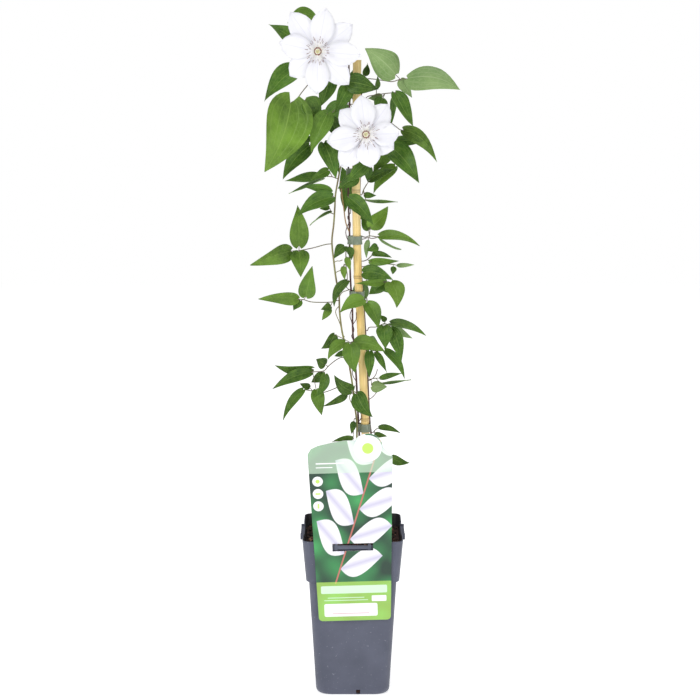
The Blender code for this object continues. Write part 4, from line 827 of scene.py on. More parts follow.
# Each leaf: the stem it grows from and the height of its root there, the points that its stalk passes,
# and its leaflets as foot, tip, half-width, roll about the midrib, arch towards the viewer, bend to the
# left of its own direction, and tone from dark to bright. The tone is partly the leaflet's own green and
# partly painted shade: leaflets that lie behind others or deep in the plant are given darker tones.
LEAVES = {
    "leaf_heart": ("stem_twining", 676, ((-20, 684, -4), (-40, 675, -9), (-51, 664, -15),
        (-60, 652, -21)), (
        ((-66, 649, -24), (-93, 576.5, -43), 27, -12, 6, 3, 0.85),
        ((-51, 652, -19), (-37, 626, -13.5), 15, -38, 2, 0, 0.65),
        ((-26, 680, -6), (-36, 644, -11.5), 10.5, 0, 2, 3, 0.3),
    )),
    "leaf_top": ("stem_twining", 686, ((-18, 694, 4), (-34, 700, 5), (-50, 700, 5)), (
        ((-58, 686, 2), (-94, 651.5, -17), 13, 22, 3, -2, 0.5),
        ((-56, 711, 4), (-88, 731.5, 4), 10, 20, 2, 0, 0.5),
        ((-40, 738, 6), (-69, 732, 10), 8, 0, 2, -7, 0.7),
    )),
    "leaf_over_cane_top": ("stem_twining", 662, ((-6, 664, -5), (-6, 670, -9)), (
        ((-4, 671, -11), (27, 663, -16.5), 12, 12, 3, 2, 0.2),
        ((-4, 667, -7.5), (-19, 638, -18), 9, 0, 2, 0, 0.45),
    )),
    "leaf_upper_right": ("stem_back", 668, ((14, 674, 4), (23, 674, 1), (33, 672.5, -2),
        (42, 671.5, -4), (50, 674, -4)), (
        ((45, 679, -5), (12, 706.5, -24), 16, 180, -3, 2, 1),
        ((58, 674.5, -6), (114, 662.5, -36.5), 15.5, 160, -4, -6, 0.85),
        ((51, 673, -2), (62, 655, 7.5), 6.5, 170, 0, 0, 0.3),
        ((12.5, 678, 5), (16, 691, 7), 4.5, 30, 0, 0, 0.2),
    )),
    "leaf_right_high": ("stem_back", 652, ((16, 656, 6), (25, 657.5, 3), (34, 659, 0), (45, 660, -3)), (
        ((45, 659, -4), (65, 626.5, -19), 11, -42, 2, -3, 0.5),
        ((43, 655, 2), (41.5, 626, 9.5), 4.5, -30, 0, 0, 0.5),
        ((32, 654, 3), (25, 640, 7), 8, 0, 0, 0, 0.35),
        ((25, 664, -3), (27, 677, -7), 3.6, 40, 0, 0, 0.15),
        ((31, 655.5, 2.5), (16, 654, 5.5), 4.5, 180, 0, 0, 0.8),
    )),
    "leaf_right_bloom": ("stem_back", 636, ((22, 640, 6), (38, 630, 4), (50, 621, 1)), (
        ((54, 620, 0), (89, 586.5, -26.5), 9, 25, 3, 9, 0.8),
    )),
    "leaf_right_middle": ("stem_back", 608, ((20, 612, 7), (32, 608, 5), (40, 606, 4)), (
        ((43, 609, 7), (82, 609.5, 11), 6, 10, 2, 1, 0.2),
        ((40, 603.5, 2), (71, 565.5, -21), 13.5, -14, 3, 2, 0.5),
        ((38, 602, 6), (22, 577, 6), 10, 0, 2, 0, 0.8),
        ((45, 582, 6), (22, 553, -1.5), 8, 10, 3, -3, 0.8),
    )),
    "leaf_right_low": ("stem_back", 552, ((11.5, 557, 4), (15, 563, 0)), (
        ((18, 567, -2), (45, 579, -6), 6, -15, 1, 2, 0.15),
        ((12, 551.5, 5), (25.5, 551, 5), 3.6, 0, 0, 0, 0.4),
        ((14, 546.5, 6), (48, 543, 0.5), 5, 72, 0, 1, 0.15),
    )),
    "leaf_under_bloom": ("stem_twining", 590, ((-2, 590, -7), (6, 589, -10), (14, 586, -12)), (
        ((15, 585, -14), (-6, 566, -21.5), 9, 10, 2, 0, 0.5),
        ((17, 582, -9), (16, 565, -7), 5, 0, 0, 0, 0.35),
        ((4, 572, -8), (-16, 558, -10), 8, -10, 1, 0, 0.2),
    )),
    "leaf_left_bloom": ("stem_left", 640, ((-17, 643, -5), (-22, 639, -12), (-26, 638, -17)), (
        ((-27, 638, -19), (-45, 596.5, -31), 11.5, 12, 3, 0, 0.7),
        ((-24, 634, -12), (-14, 610, -8), 8, 0, 1, 0, 0.2),
    )),
    "leaf_left_twin": ("stem_left", 604, ((-17, 608, -7), (-26, 609, -12)), (
        ((-31, 607, -14), (-17.5, 570, -25.5), 11.5, -18, 3, 0, 0.5),
        ((-19, 603, -6), (-14.5, 573, -10), 3.5, 0, 0, 0, 0.2),
    )),
    "leaf_left_shade": ("stem_left", 618, ((-20, 620, 2), (-32, 630, -1), (-41, 612, -4)), (
        ((-38, 634, -5), (-64, 611, -14.5), 11, 0, 2, 0, 0),
        ((-42, 612, -7), (-62, 609, -9), 4, 30, 0, 1, 0.4),
        ((-46, 604, -8), (-75, 568, -23), 10.5, 8, 3, -3, 0.4),
    )),
    "leaf_left_grey": ("stem_left", 569, ((-22, 571, -5), (-31, 571.5, -4)), (
        ((-26, 578, -7), (-45, 568, -16.5), 5.5, 0, 1, 0, 0.6),
        ((-37, 572, -3), (-73, 567, -5), 6, 25, 1, 1, 0.4),
        ((-32, 568, 3), (-69, 554, 5), 6, 76, 0, 2, 0.3),
    )),
    "leaf_left_pair": ("stem_left", 549, ((-21, 550.5, -6),), (
        ((-23, 554.5, -7), (-53, 560, -9), 6, -20, 1, -3, 0.5),
        ((-22.5, 549, -9), (-60, 528.5, -26), 10, 16, 3, -3, 0.5),
    )),
    "leaf_left_blade": ("stem_left", 531, ((-23, 532, -5),), (
        ((-24, 532.5, -5), (-47, 519.5, 0.5), 5, 74, 0, -3, 0.4),
        ((-25, 538, -4), (-36, 537, -2), 3.2, 10, 0, 0, 0.35),
    )),
    "leaf_left_three": ("stem_left", 499, ((-30, 498, -5), (-44, 494.2, -7), (-58, 491.5, -9)), (
        ((-58, 497, -10), (-59, 541, -4.5), 11, 6, 3, 0, 0.8),
        ((-67, 491, -11), (-110, 475, -28), 11.5, -22, 4, -3, 0.85),
        ((-58, 490.5, -10), (-56, 463, -25), 11, -6, 3, 0, 0.7),
    )),
    "leaf_left_low": ("stem_left", 437, ((-22, 435.5, -5), (-33, 435, -6), (-45, 435.5, -7),
        (-53, 438, -8)), (
        ((-51, 441.5, -9), (-44, 474, -18.5), 10, 0, 3, 0, 0.65),
        ((-60, 438.5, -9), (-102, 438, -26), 8.5, -28, 3, -4, 0.8),
        ((-57, 437, -7), (-65, 426, -9), 5.5, 20, 0, 0, 0.45),
        ((-24, 431, -8), (-34, 427.5, -15.5), 4.5, 10, 0, 0, 0.2),
        ((-25, 429, -8), (-33.5, 415, -10), 4.5, -10, 1, 0, 0.8),
    )),
    "leaf_inner": ("stem_twining", 495, ((-7, 496, -4.5), (-7.5, 486, -5), (-7.5, 477, -5),
        (-6, 465, -5)), (
        ((-9, 496, -6), (-20, 483, -11.5), 6, 0, 1, -2, 0.2),
        ((-5.5, 495, -8), (-1.5, 481, -12), 4.5, 0, 1, 2, 0.2),
        ((-6.5, 484, -8), (-3, 470, -10), 3.8, 0, 0, 0, 0.9),
        ((-10.5, 474, -6), (-8.5, 459.5, -11.5), 3.6, 0, 0, 0, 0.9),
        ((-6, 458.5, -7), (-20, 430, -12.5), 6, -20, 1, -6, 0.15),
    )),
    "leaf_cane_pair": ("stem_back", 440, ((15, 440, 2), (15.5, 437, -5)), (
        ((12, 438, -9), (-14, 423.5, -22.5), 8.5, 14, 2, -3, 0.8),
        ((15.5, 434, -7), (28, 406, -16.5), 9, -8, 2, 3, 0.65),
    )),
    "leaf_olive": ("stem_twining", 562, ((-8, 561, 4),), (
        ((-8, 557, 5), (-8.5, 533, 7), 5.5, 0, 0, 0, 0.45),
    )),
    "leaf_over_cane": ("stem_twining", 549, ((-5, 550, -6),), (
        ((-4.5, 549, -9), (22, 519.5, -20.5), 9.5, -6, 2, 2, 0.5),
    )),
    "leaf_right_light": ("stem_back", 507, ((13.5, 506, 4), (18, 507.5, 2), (25, 506.5, 0)), (
        ((19, 517, 1), (37.5, 539.5, 5), 10, -14, 2, -3, 0.9),
        ((17, 514, 4), (9.5, 530, 6), 5.5, 0, 0, 0, 0.3),
        ((16.5, 502.5, 0), (15, 483, -4), 3.4, 180, 0, 1, 0.9),
        ((29, 507, -2), (72, 497, -21), 6.5, -22, 2, 4, 0.8),
        ((29, 505, 2), (52, 492, 7.5), 5, 104, 0, 3, 0.4),
    )),
    "leaf_right_small": ("stem_back", 480, ((16, 482, 9), (22, 488, 7), (27, 496, 4)), (
        ((26.5, 496, 1), (16, 491.5, -4.5), 5, 0, 0, 0, 0.4),
        ((21, 487.5, -1), (42, 484.5, -8.5), 4, -30, 1, 1, 0.2),
        ((18, 479.5, 0), (50, 480, -5.5), 4.6, 10, 1, 0, 0.7),
    )),
    "leaf_right_broad": ("stem_back", 470, ((14, 469.5, 3), (11.5, 468.5, -7)), (
        ((11.5, 467.5, -10), (43, 459.5, -25), 9, 10, 3, 4, 0.35),
    )),
    "leaf_right_far": ("stem_back", 474, ((20, 476, 8), (34, 477, 7), (44, 476.5, 4)), (
        ((44.5, 474, 3), (43, 465.5, 3), 3.6, 0, 0, 0, 0.4),
        ((48, 475.5, 3), (67, 476, 1), 2.8, 170, 0, 0, 0.4),
    )),
    "leaf_right_hearts": ("stem_back", 458, ((18, 458, 5), (28, 458, 2), (37, 457.5, -2)), (
        ((33, 457.5, -2), (3, 456, -19), 4.6, 10, 1, 1, 0.8),
        ((33.3, 456, 1), (17, 443.5, 3), 7.5, 0, 1, 0, 0.35),
        ((41, 457, -5), (48, 429.5, -14.5), 11, -8, 2, 3, 0.9),
    )),
    "leaf_right_fan": ("stem_back", 404, ((18, 407.5, 4), (26, 408, 1), (34, 411.5, -2), (40, 410, -2)), (
        ((41, 412, -4), (80, 398.5, -19), 6, -24, 2, 3, 0.35),
        ((44, 409, 3), (65, 395, 1), 5, 164, 0, 1, 0.5),
        ((34, 409, -5), (35.5, 384, -12.5), 9.5, 0, 2, 0, 0.55),
        ((42, 406.5, -3), (53, 368.5, -12.5), 8.5, 14, 2, 3, 0.5),
        ((36, 414.5, 1), (30, 421, 3), 3.4, 0, 0, 0, 0.4),
    )),
    "leaf_centre_three": ("stem_twining", 392, ((-1, 391.5, -5), (-2, 390.5, -9)), (
        ((2, 390.5, -10), (35.5, 380.5, -19.5), 9, -6, 3, 3, 0.8),
        ((-2, 388.5, -12), (3, 356.5, -21.5), 10.5, 0, 3, -1, 0.7),
        ((-8, 391, -9), (-27.5, 372, -16.5), 7, 22, 2, -3, 0.8),
        ((-9, 379.5, -8), (-20.5, 375.5, -6), 3.6, 0, 0, 0, 0.4),
        ((-20, 399.5, -8), (-34, 383.5, -10), 7, -20, 1, 2, 0.1),
    )),
    "leaf_lower_left": ("stem_left", 374, ((-13, 374, -6), (-20, 370, -6.5), (-27, 364, -7),
        (-32, 359, -8), (-44, 358, -8)), (
        ((-45, 362, -6), (-85, 364.5, -13.5), 7, -26, 2, 3, 0.45),
        ((-46, 357, -9), (-88, 339, -24), 7.5, 12, 2, -3, 0.35),
        ((-30, 366, -7), (-40, 372, -9), 7, 0, 0, 0, 0.1),
        ((-31, 355, -5), (-46, 346, -3), 6, 0, 1, 0, 0.2),
        ((-30, 355.5, -10), (-41, 330, -19.5), 6, 0, 1, 3, 0.35),
        ((-40, 338, -9), (-34, 309, -16.5), 8, 0, 2, 0, 0.7),
    )),
    "leaf_lower_tongue": ("stem_left", 344, ((-7, 344, -2), (-16, 341, -1), (-32, 335, -1),
        (-44, 336.5, -2), (-52, 338, -3)), (
        ((-54, 338, -3), (-77, 302.5, -20), 5.5, 8, 2, -3, 0.5),
        ((-47, 340.5, -1), (-58, 345, -1), 4, 0, 0, 0, 0.15),
    )),
    "leaf_low_dark": ("stem_twining", 336, ((4.8, 336, -5), (4.8, 335, -10)), (
        ((-1, 337, -10), (-20, 354, -15.5), 8, 0, 2, 3, 0.15),
        ((-7, 332, -8), (-32, 319, -13.5), 4.5, -20, 1, 0, 0.15),
        ((5, 333, -12), (22, 307, -21.5), 10, 8, 3, -2, 0.3),
    )),
    "leaf_lower_right": ("stem_back", 384, ((19, 383.5, 5), (25, 381.5, 1), (32, 381.5, -2)), (
        ((18.5, 381, -3), (18, 351, -8.5), 6, 0, 2, 0, 0.5),
        ((25, 380, 0), (37, 356, -5), 4.5, 30, 0, 2, 0.4),
        ((35, 381.5, 1), (57, 350, -10.5), 5.5, -10, 2, 4, 0.5),
    )),
    "leaf_lower_slips": ("stem_back", 350, ((20, 350, 5), (25, 351, 4)), (
        ((30, 351, 2), (54, 356, -2), 3.6, 10, 1, 1, 0.4),
        ((31, 345.5, 5), (64, 348.5, -2.5), 5, 74, 0, 2, 0.3),
        ((21, 342, 3), (38, 341, -1), 7, 170, 0, 0, 0.8),
    )),
    "leaf_foot_left": ("stem_left", 306, ((1.5, 305, -7), (0.5, 288, -7)), (
        ((1.2, 302, -9), (-1.5, 288, -11), 3.8, 0, 0, 0, 0.2),
        ((0.5, 283.5, -8), (-24, 279, -12), 3.4, 10, 0, -1, 0.2),
    )),
    "leaf_foot_right": ("stem_back", 290, ((24, 292, 5), (27, 294.5, 3)), (
        ((28.5, 295.5, 2), (53, 289, -3.5), 3.8, -10, 1, 2, 0.25),
        ((24, 288, 3.5), (38, 285.5, 0.5), 3.4, 0, 0, 0, 0.2),
    )),
    "leaf_behind_label": ("stem_back", 262, ((30, 262, 3), (40, 262, -1)), (
        ((43, 261.5, -3), (63, 255.5, -12.5), 5.6, 0, 1, -2, 0.35),
    )),
    "leaf_back_high": ("stem_back", 645, ((4, 647, 17), (-3, 648, 24)), (
        ((-8, 648, 27), (-34, 622, 48), 14, -10, -4, 0, 0.5),
        ((-2, 656, 26), (6, 690, 41), 12, 20, -4, 0, 0.45),
        ((2, 640, 27), (8, 602, 48), 13, 10, -4, 0, 0.5),
    )),
    "leaf_back_middle": ("stem_back", 545, ((6, 547, 18), (2, 548, 26)), (
        ((-2, 552, 28), (-12, 582, 47), 11, -10, -3, 0, 0.5),
        ((5, 544, 28), (16, 518, 47), 10, 20, -3, 0, 0.45),
    )),
    "leaf_back_low": ("stem_back", 466, ((14, 465, 18), (18, 463, 26)), (
        ((24, 462, 28), (42, 444, 47), 9, 0, -3, 0, 0.5),
        ((12, 456, 28), (2, 428, 47), 10, 15, -3, 0, 0.5),
    )),
    "leaf_back_lower": ("stem_back", 392, ((13, 393, 18), (8, 393, 26)), (
        ((3, 390, 28), (-3, 362, 47), 10, -10, -3, 0, 0.45),
        ((14, 394, 28), (30, 386, 51), 8, 10, -3, 0, 0.5),
    )),
}


def blade_width(along):
    """Half-width of a leaflet along its midrib, as a share of its widest."""
    return math.sin(math.pi * along ** 0.55) ** 0.95


def tepal_width(along):
    """Half-width of a tepal along its midrib: narrow claw, broad middle, short point."""
    return math.sin(math.pi * along ** 1.15) ** 0.75


def blade_form(name, width_rule, fold, wave, lobe, least, twist, curl, materials):
    """A blade one unit long, and at most one unit from midrib to margin: two sheets that lie together
    and meet at the margin. It twists about its midrib from foot to tip and curls back at the tip."""
    shape = bmesh.new()
    spread = shape.loops.layers.uv.new("blade")
    under = shape.verts.layers.float.new("underside")
    sheets = []
    places = {}
    for underside in (0.0, 1.0):
        rows = []
        for row in range(BLADE_ROWS + 1):
            along = (row / BLADE_ROWS) ** BLADE_CROWDING
            reach = max(width_rule(min(along, 0.9999)), least * (1.0 - along))
            line = []
            for column in range(BLADE_COLUMNS + 1):
                across = 2.0 * column / BLADE_COLUMNS - 1.0
                ripple = wave * math.sin(RIPPLE_ALONG * along - RIPPLE_ACROSS * across)
                ripple *= across * across * min(1.0, RIPPLE_GROWTH * along)
                slip = lobe * (1.0 - along) ** 4 * abs(across) if row else 0.0
                turned = Matrix.Rotation(twist * (along - BLADE_UNTWISTED), 3, "Y") @ Vector((
                    reach * across * math.cos(fold), 0.0, abs(across) * reach * math.sin(fold) + ripple))
                point = shape.verts.new(turned + Vector((0.0, along - slip, -curl * along ** 3)))
                point[under] = underside
                places[point] = (column / BLADE_COLUMNS, along)
                line.append(point)
            rows.append(line)
        sheets.append(rows)
    for material, rows in enumerate(sheets):
        for lower, upper in zip(range(BLADE_ROWS), range(1, BLADE_ROWS + 1)):
            for left in range(BLADE_COLUMNS):
                corners = [(lower, left), (lower, left + 1), (upper, left + 1), (upper, left)]
                face = shape.faces.new([rows[row][column] for row, column in corners])
                face.material_index = material
                if material:
                    face.normal_flip()
    top, bottom = sheets
    margins = []
    for low in range(BLADE_ROWS):
        margins.append((top[low][0], top[low + 1][0], bottom[low + 1][0], bottom[low][0]))
        margins.append((top[low + 1][-1], top[low][-1], bottom[low][-1], bottom[low + 1][-1]))
    for left in range(BLADE_COLUMNS):
        margins.append((top[0][left + 1], top[0][left], bottom[0][left], bottom[0][left + 1]))
        margins.append((top[-1][left], top[-1][left + 1], bottom[-1][left + 1], bottom[-1][left]))
    for corners in margins:
        shape.faces.new(corners).material_index = 1
    for face in shape.faces:
        for loop in face.loops:
            loop[spread].uv = places[loop.vert]
    return mesh_piece(name, shape, materials, 60.0)


# Veins, shared by leaves and tepals: lines that keep their share of the blade's width from foot to tip,
# with a fine net between them.
veins, veins_in, veins_out = shader_group(
    "veins",
    (("Colour", "Color"), ("Vein", "Color"), ("Width", "Float"), ("Net", "Float")),
    (("Colour", "Color"), ("Height", "Float")))
vein_map = add(veins, "ShaderNodeUVMap", uv_map="blade")
vein_parts = add(veins, "ShaderNodeSeparateXYZ", {"Vector": vein_map})
vein_centred = maths(veins, "MULTIPLY_ADD", vein_parts.outputs["X"], 2.0, -1.0)
vein_side = maths(veins, "ABSOLUTE", vein_centred)
nearest = vein_side
for place in SIDE_VEINS:
    apart = maths(veins, "SUBTRACT", vein_side, place)
    distance = maths(veins, "ABSOLUTE", apart)
    thinner = maths(veins, "ADD", distance, SIDE_VEIN_THINNER)
    nearest = maths(veins, "MINIMUM", nearest, thinner)
vein_line = remap(veins, nearest, high=veins_in["Width"], to_low=1.0, to_high=0.0)
net_scale = add(veins, "ShaderNodeVectorMath", {0: vein_map, 1: NET_CELLS}, operation="MULTIPLY")
net_cells = add(veins, "ShaderNodeTexVoronoi", {
    "Vector": net_scale, "Scale": 1.0}, feature="DISTANCE_TO_EDGE")
net_line = remap(veins, net_cells, high=NET_LINE, to_low=1.0, to_high=0.0)
net_share = maths(veins, "MULTIPLY", net_line, veins_in["Net"])
vein_share = maths(veins, "MAXIMUM", vein_line, net_share)
vein_soft = maths(veins, "MULTIPLY", vein_share, VEIN_STRENGTH)
wire(veins, mixed(veins, vein_soft, veins_in["Colour"], veins_in["Vein"]), veins_out["Colour"])
wire(veins, vein_share, veins_out["Height"])

leaf_upper, tree, shader = new_material("leaf_upper", LEAF_MID, 0.4, Specular_IOR_Level=0.24)
# Each leaflet's tone runs this ramp; its darker end also stands for the shade on leaflets that lie behind
# others: painted shade
leaf_tone_and_shade = add(tree, "ShaderNodeAttribute", attribute_name="tone")
tone_and_shade_ramp = add(tree, "ShaderNodeValToRGB", {"Fac": leaf_tone_and_shade.outputs["Fac"]})
tone_and_shade_ramp.color_ramp.elements[0].color = LEAF_DARK
tone_and_shade_ramp.color_ramp.elements[1].color = LEAF_BRIGHT
tone_and_shade_ramp.color_ramp.elements.new(0.5).color = LEAF_MID
# Large soft clouds of darker green over each blade stand both for uneven colour and for the fall of light
# across it: partly painted shade
cloud = mottled(tree, tone_and_shade_ramp, LEAF_DARK, scale=30.0, amount=0.75)
fine_cloud = mottled(tree, cloud, LEAF_BRIGHT, scale=170.0, amount=0.25)
veined = use(tree, veins, {"Colour": fine_cloud, "Vein": LEAF_VEIN, "Width": 0.05, "Net": 0.25})
wire(tree, veined, shader.inputs["Base Color"])
leaf_rough = remap(tree, cloud.outputs["Height"], to_low=0.32, to_high=0.46)
wire(tree, leaf_rough, shader.inputs["Roughness"])
relief(tree, shader, veined.outputs["Height"], strength=0.6, depth=0.0005, sunk=True)

leaf_under, tree, shader = new_material("leaf_under", LEAF_PALE, 0.6, Specular_IOR_Level=0.3)
cloud = mottled(tree, LEAF_PALE, LEAF_PALE_SHADE, scale=34.0, amount=0.8)
veined = use(tree, veins, {"Colour": cloud, "Vein": LEAF_PALE_VEIN, "Width": 0.06, "Net": 0.4})
wire(tree, veined, shader.inputs["Base Color"])
relief(tree, shader, veined.outputs["Height"], strength=0.6, depth=0.0004)
petiole_bark = bark_finish("petiole_bark", PETIOLE_GREEN, PETIOLE_TAN)

# A leaf grows from a skeleton: its edges become stalks, and each loose point that is marked as a blade
# carries a blade form, turned, sized, bowed and thickened as the point says.
leafing, entry, leave = geometry_tree("leaf_from_skeleton", (
    ("Skeleton", "Geometry"), ("Forms", "Collection"), ("Thickness", "Float"), ("Ruffle", "Float"),
    ("Ruffle Seed", "Float"), ("Stalk Finish", "Material")))
named = {
    attribute: add(leafing, "GeometryNodeInputNamedAttribute", {"Name": attribute}, data_type=kind)
    for attribute, kind in (
        ("is_blade", "BOOLEAN"), ("turn", "FLOAT_VECTOR"), ("size", "FLOAT_VECTOR"), ("bow", "FLOAT_VECTOR"),
        ("face", "FLOAT_VECTOR"), ("form", "INT"), ("underside", "FLOAT"), ("blade", "FLOAT_VECTOR"))}
stalks = add(leafing, "GeometryNodeGroup", node_tree=tubes)
for socket, value in (("Paths", entry["Skeleton"]), ("Finish", entry["Stalk Finish"]),
                      ("Step", PETIOLE_STEP * MM), ("Sides", PETIOLE_SIDES)):
    wire(leafing, value, stalks.inputs[socket])
feet = add(leafing, "GeometryNodeMeshToPoints", {"Mesh": entry["Skeleton"], "Selection": named["is_blade"]})
forms = add(leafing, "GeometryNodeCollectionInfo", {
    "Collection": entry["Forms"], "Separate Children": True, "Reset Children": True})
blades = add(leafing, "GeometryNodeInstanceOnPoints", {
    "Points": feet, "Instance": forms, "Pick Instance": True, "Instance Index": named["form"],
    "Rotation": named["turn"], "Scale": named["size"]})
blades_real = add(leafing, "GeometryNodeRealizeInstances", {"Geometry": blades})
leaf_uv_parts = add(leafing, "ShaderNodeSeparateXYZ", {"Vector": named["blade"]})
rest_of_way = maths(leafing, "SUBTRACT", 1.0, leaf_uv_parts.outputs["Y"])
half_bow = maths(leafing, "MULTIPLY", leaf_uv_parts.outputs["Y"], rest_of_way)
full_bow = maths(leafing, "MULTIPLY", half_bow, 4.0)
bowed = add(leafing, "ShaderNodeVectorMath", {0: named["bow"], "Scale": full_bow}, operation="SCALE")
depth = maths(leafing, "MULTIPLY", named["underside"], entry["Thickness"])
sunk = add(leafing, "ShaderNodeVectorMath", {0: named["face"], "Scale": depth}, operation="SCALE")
ruffle = add(leafing, "ShaderNodeTexNoise", {
    "Scale": LEAF_RUFFLES_A_METRE, "Detail": 1.0, "W": entry["Ruffle Seed"]}, noise_dimensions="4D")
ruffle_centred = maths(leafing, "SUBTRACT", ruffle, 0.5)
ruffle_grown = maths(leafing, "MULTIPLY", ruffle_centred, full_bow)
ruffle_sized = maths(leafing, "MULTIPLY", ruffle_grown, entry["Ruffle"])
ruffled = add(leafing, "ShaderNodeVectorMath", {0: named["face"], "Scale": ruffle_sized}, operation="SCALE")
lifted = add(leafing, "ShaderNodeVectorMath", {0: bowed, 1: ruffled}, operation="ADD")
shift = add(leafing, "ShaderNodeVectorMath", {0: lifted, 1: sunk}, operation="SUBTRACT")
placed = add(leafing, "GeometryNodeSetPosition", {"Geometry": blades_real, "Offset": shift})
whole = add(leafing, "GeometryNodeJoinGeometry")
wire(leafing, placed, whole.inputs["Geometry"])
wire(leafing, stalks, whole.inputs["Geometry"])
stalk_faces = add(leafing, "GeometryNodeMaterialSelection", {"Material": entry["Stalk Finish"]})
end_with(leafing, whole, entry["Stalk Finish"], leave, stalk_faces)


def lie(base, tip, roll):
    """How a blade lies: along its midrib, across it, and out of its face."""
    along = (tip - base).normalized()
    to_viewer = (VIEWPOINT - (base + tip) / 2).normalized()
    side = to_viewer.cross(along).normalized()
    face = along.cross(side)
    turn = Matrix.Rotation(math.radians(roll), 3, along)
    return along, turn @ side, turn @ face


def skeleton(name, paths, blades):
    """An object of paths of (point, radius) pairs and of blades for the tree of leaves."""
    piece = path_piece(name, paths)
    stalk_points = len(piece.data.vertices)
    piece.data.vertices.add(len(blades))
    vectors = {column: [0.0] * 3 * stalk_points for column in ("turn", "size", "bow", "face")}
    plain = {"is_blade": [False] * stalk_points, "tone": [0.5] * stalk_points, "form": [0] * stalk_points}
    for index, (base, tip, half, roll, arch, bend, tone, form) in enumerate(blades):
        along, side, face = lie(base, tip, roll)
        piece.data.vertices[stalk_points + index].co = base
        for column, value in (("turn", Matrix((-side, along, face)).transposed().to_euler()),
                              ("size", (half, (tip - base).length, half)),
                              ("bow", face * arch + side * bend), ("face", face)):
            vectors[column].extend(value)
        for column, value in (("is_blade", True), ("tone", tone), ("form", form)):
            plain[column].append(value)
    for column, values in vectors.items():
        piece.data.attributes.new(column, "FLOAT_VECTOR", "POINT").data.foreach_set("vector", values)
    for (column, values), kind in zip(plain.items(), ("BOOLEAN", "FLOAT", "INT")):
        piece.data.attributes.new(column, kind, "POINT").data.foreach_set("value", values)
    return piece


def sprout(stem, height, towards):
    """The first two points of what grows from a stem: square to its bark."""
    radius, route = STEMS[stem]
    place = seen_at(*along_route(route, height))
    along = (seen_at(*along_route(route, height + SPROUT_RUN)) - place).normalized()
    outward = towards - place
    outward -= along * outward.dot(along)
    outward.normalize()
    return [place + outward * SPROUT_DEPTH * radius * MM, place + outward * (radius + SPROUT_REACH) * MM]


leaf_forms = bpy.data.collections.new("blade_forms")
for number, habit in enumerate(LEAF_BLADES):
    form = blade_form(f"blade_{number}", blade_width, LEAF_FOLD, *habit, materials=[leaf_upper, leaf_under])
    bpy.context.scene.collection.objects.unlink(form)
    leaf_forms.objects.link(form)

for name, (stem, height, petiole, leaflets) in LEAVES.items():
    route = [seen_at(*place) for place in petiole]
    stalk = sprout(stem, height, route[0]) + route
    paths = [[(point, PETIOLE_RADIUS * MM) for point in stalk]]
    blades = []
    for order, (base, tip, half, roll, arch, bend, tone) in enumerate(leaflets):
        foot, point = seen_at(*base), seen_at(*tip)
        neck = min(route, key=lambda place: (place - foot).length)
        paths.append([(neck, PETIOLULE_RADIUS * MM), (foot, PETIOLULE_RADIUS * MM),
                      (foot + (point - foot) * MIDRIB_REACH, MIDRIB_SCALE * PETIOLULE_RADIUS * MM)])
        turn = order + len(name)
        form = 0 if half >= BROAD_LEAFLET else 1 + turn % 3 if half >= SMALL_LEAFLET else 4 + turn % 2
        blades.append((foot, point, half * MM, roll, arch * MM, bend * MM, tone, form))
    leaf = skeleton(name, paths, blades)
    grow(leaf, leafing, {"Forms": leaf_forms, "Thickness": LEAF_THICKNESS * MM,
                         "Ruffle": 2.0 * LEAF_RUFFLE * MM, "Ruffle Seed": LEAF_RUFFLE_SEED,
                         "Stalk Finish": petiole_bark})
    soften(leaf.data, 70.0)
    dress(leaf, "leaf_green", name)

# Blooms
# Two open flowers face the viewer. Eight broad white tepals with pointed tips and faint ribs stand in
# two layers round a ring of stamens, cream with grey-purple anthers, and a pale yellow tuft of styles.
BLOOMS = {
    "bloom_upper": {
        "centre": (-37, 703, -26),
        "tips": ((-28, 748), (0, 731), (9, 699), (-4, 668), (-38, 658), (-67, 677), (-78, 712), (-66, 744)),
        "stem": "stem_twining",
        "root": 682,
    },
    "bloom_lower": {
        "centre": (14, 616, -32),
        "tips": ((8.5, 657.5), (38, 648), (50, 617), (44, 599.5), (19, 580.5), (-14, 582), (-28, 608),
                 (-14, 642)),
        "stem": "stem_back",
        "root": 616,
    },
}
TEPAL_HALF = 13.0
TEPAL_ARCH = 2.2
TEPAL_LAYER = 1.3
TEPAL_THICKNESS = 0.5
TEPAL_FOLD = math.radians(5.0)
TEPAL_RUFFLE = 1.2
TEPAL_RUFFLE_SEED = 5.0
TEPAL_FORM = 6
TEPAL_BLADE = (0.06, 0.0, 0.15, 0.1, 0.1)
TEPAL_ROOT = 0.3
TEPAL_ROOT_LAYER = 0.6
TEPAL_TIPS_BEHIND = 2.0
RECEPTACLE_RADIUS = 4.6
RECEPTACLE_BACK_RADIUS = 3.0
RECEPTACLE_FRONT_RADIUS = 3.2
RECEPTACLE_HALF_DEPTH = 1.9
STALK_RADIUS = 0.9
STALK_REACH = 7.0
STALK_RISE = 2.0
STALK_STEP = 1.5
STALK_SIDES = 10
STALK_NECK = 1.5
STALK_NECK_SCALE = 1.4
STALK_OVERLAP = 0.3
FILAMENT_COUNT = 46
FILAMENT_RING = 3.0
FILAMENT_LENGTH = 13.5
FILAMENT_RADIUS = 0.24
FILAMENT_LIFT = (0.1, 0.85)
FILAMENT_BEND = 1.8
ANTHER_RADIUS = 0.42
ANTHER_START = 0.66
STYLE_COUNT = 14
STYLE_RING = 0.9
STYLE_LENGTH = 5.0
STYLE_LIFT = (1.2, 1.5)
STYLE_BEND = -1.0
TUFT_SIDES = 5
TUFT_SEED = 3
TUFT_DEPTH = 0.4
TUFT_SWAY = 0.14
TUFT_GROWTH = (0.62, 1.05)
BLOOM_WHITE = colour_of(250, 250, 255)
BLOOM_LAVENDER = colour_of(224, 224, 244)
FILAMENT_CREAM = colour_of(252, 250, 244)
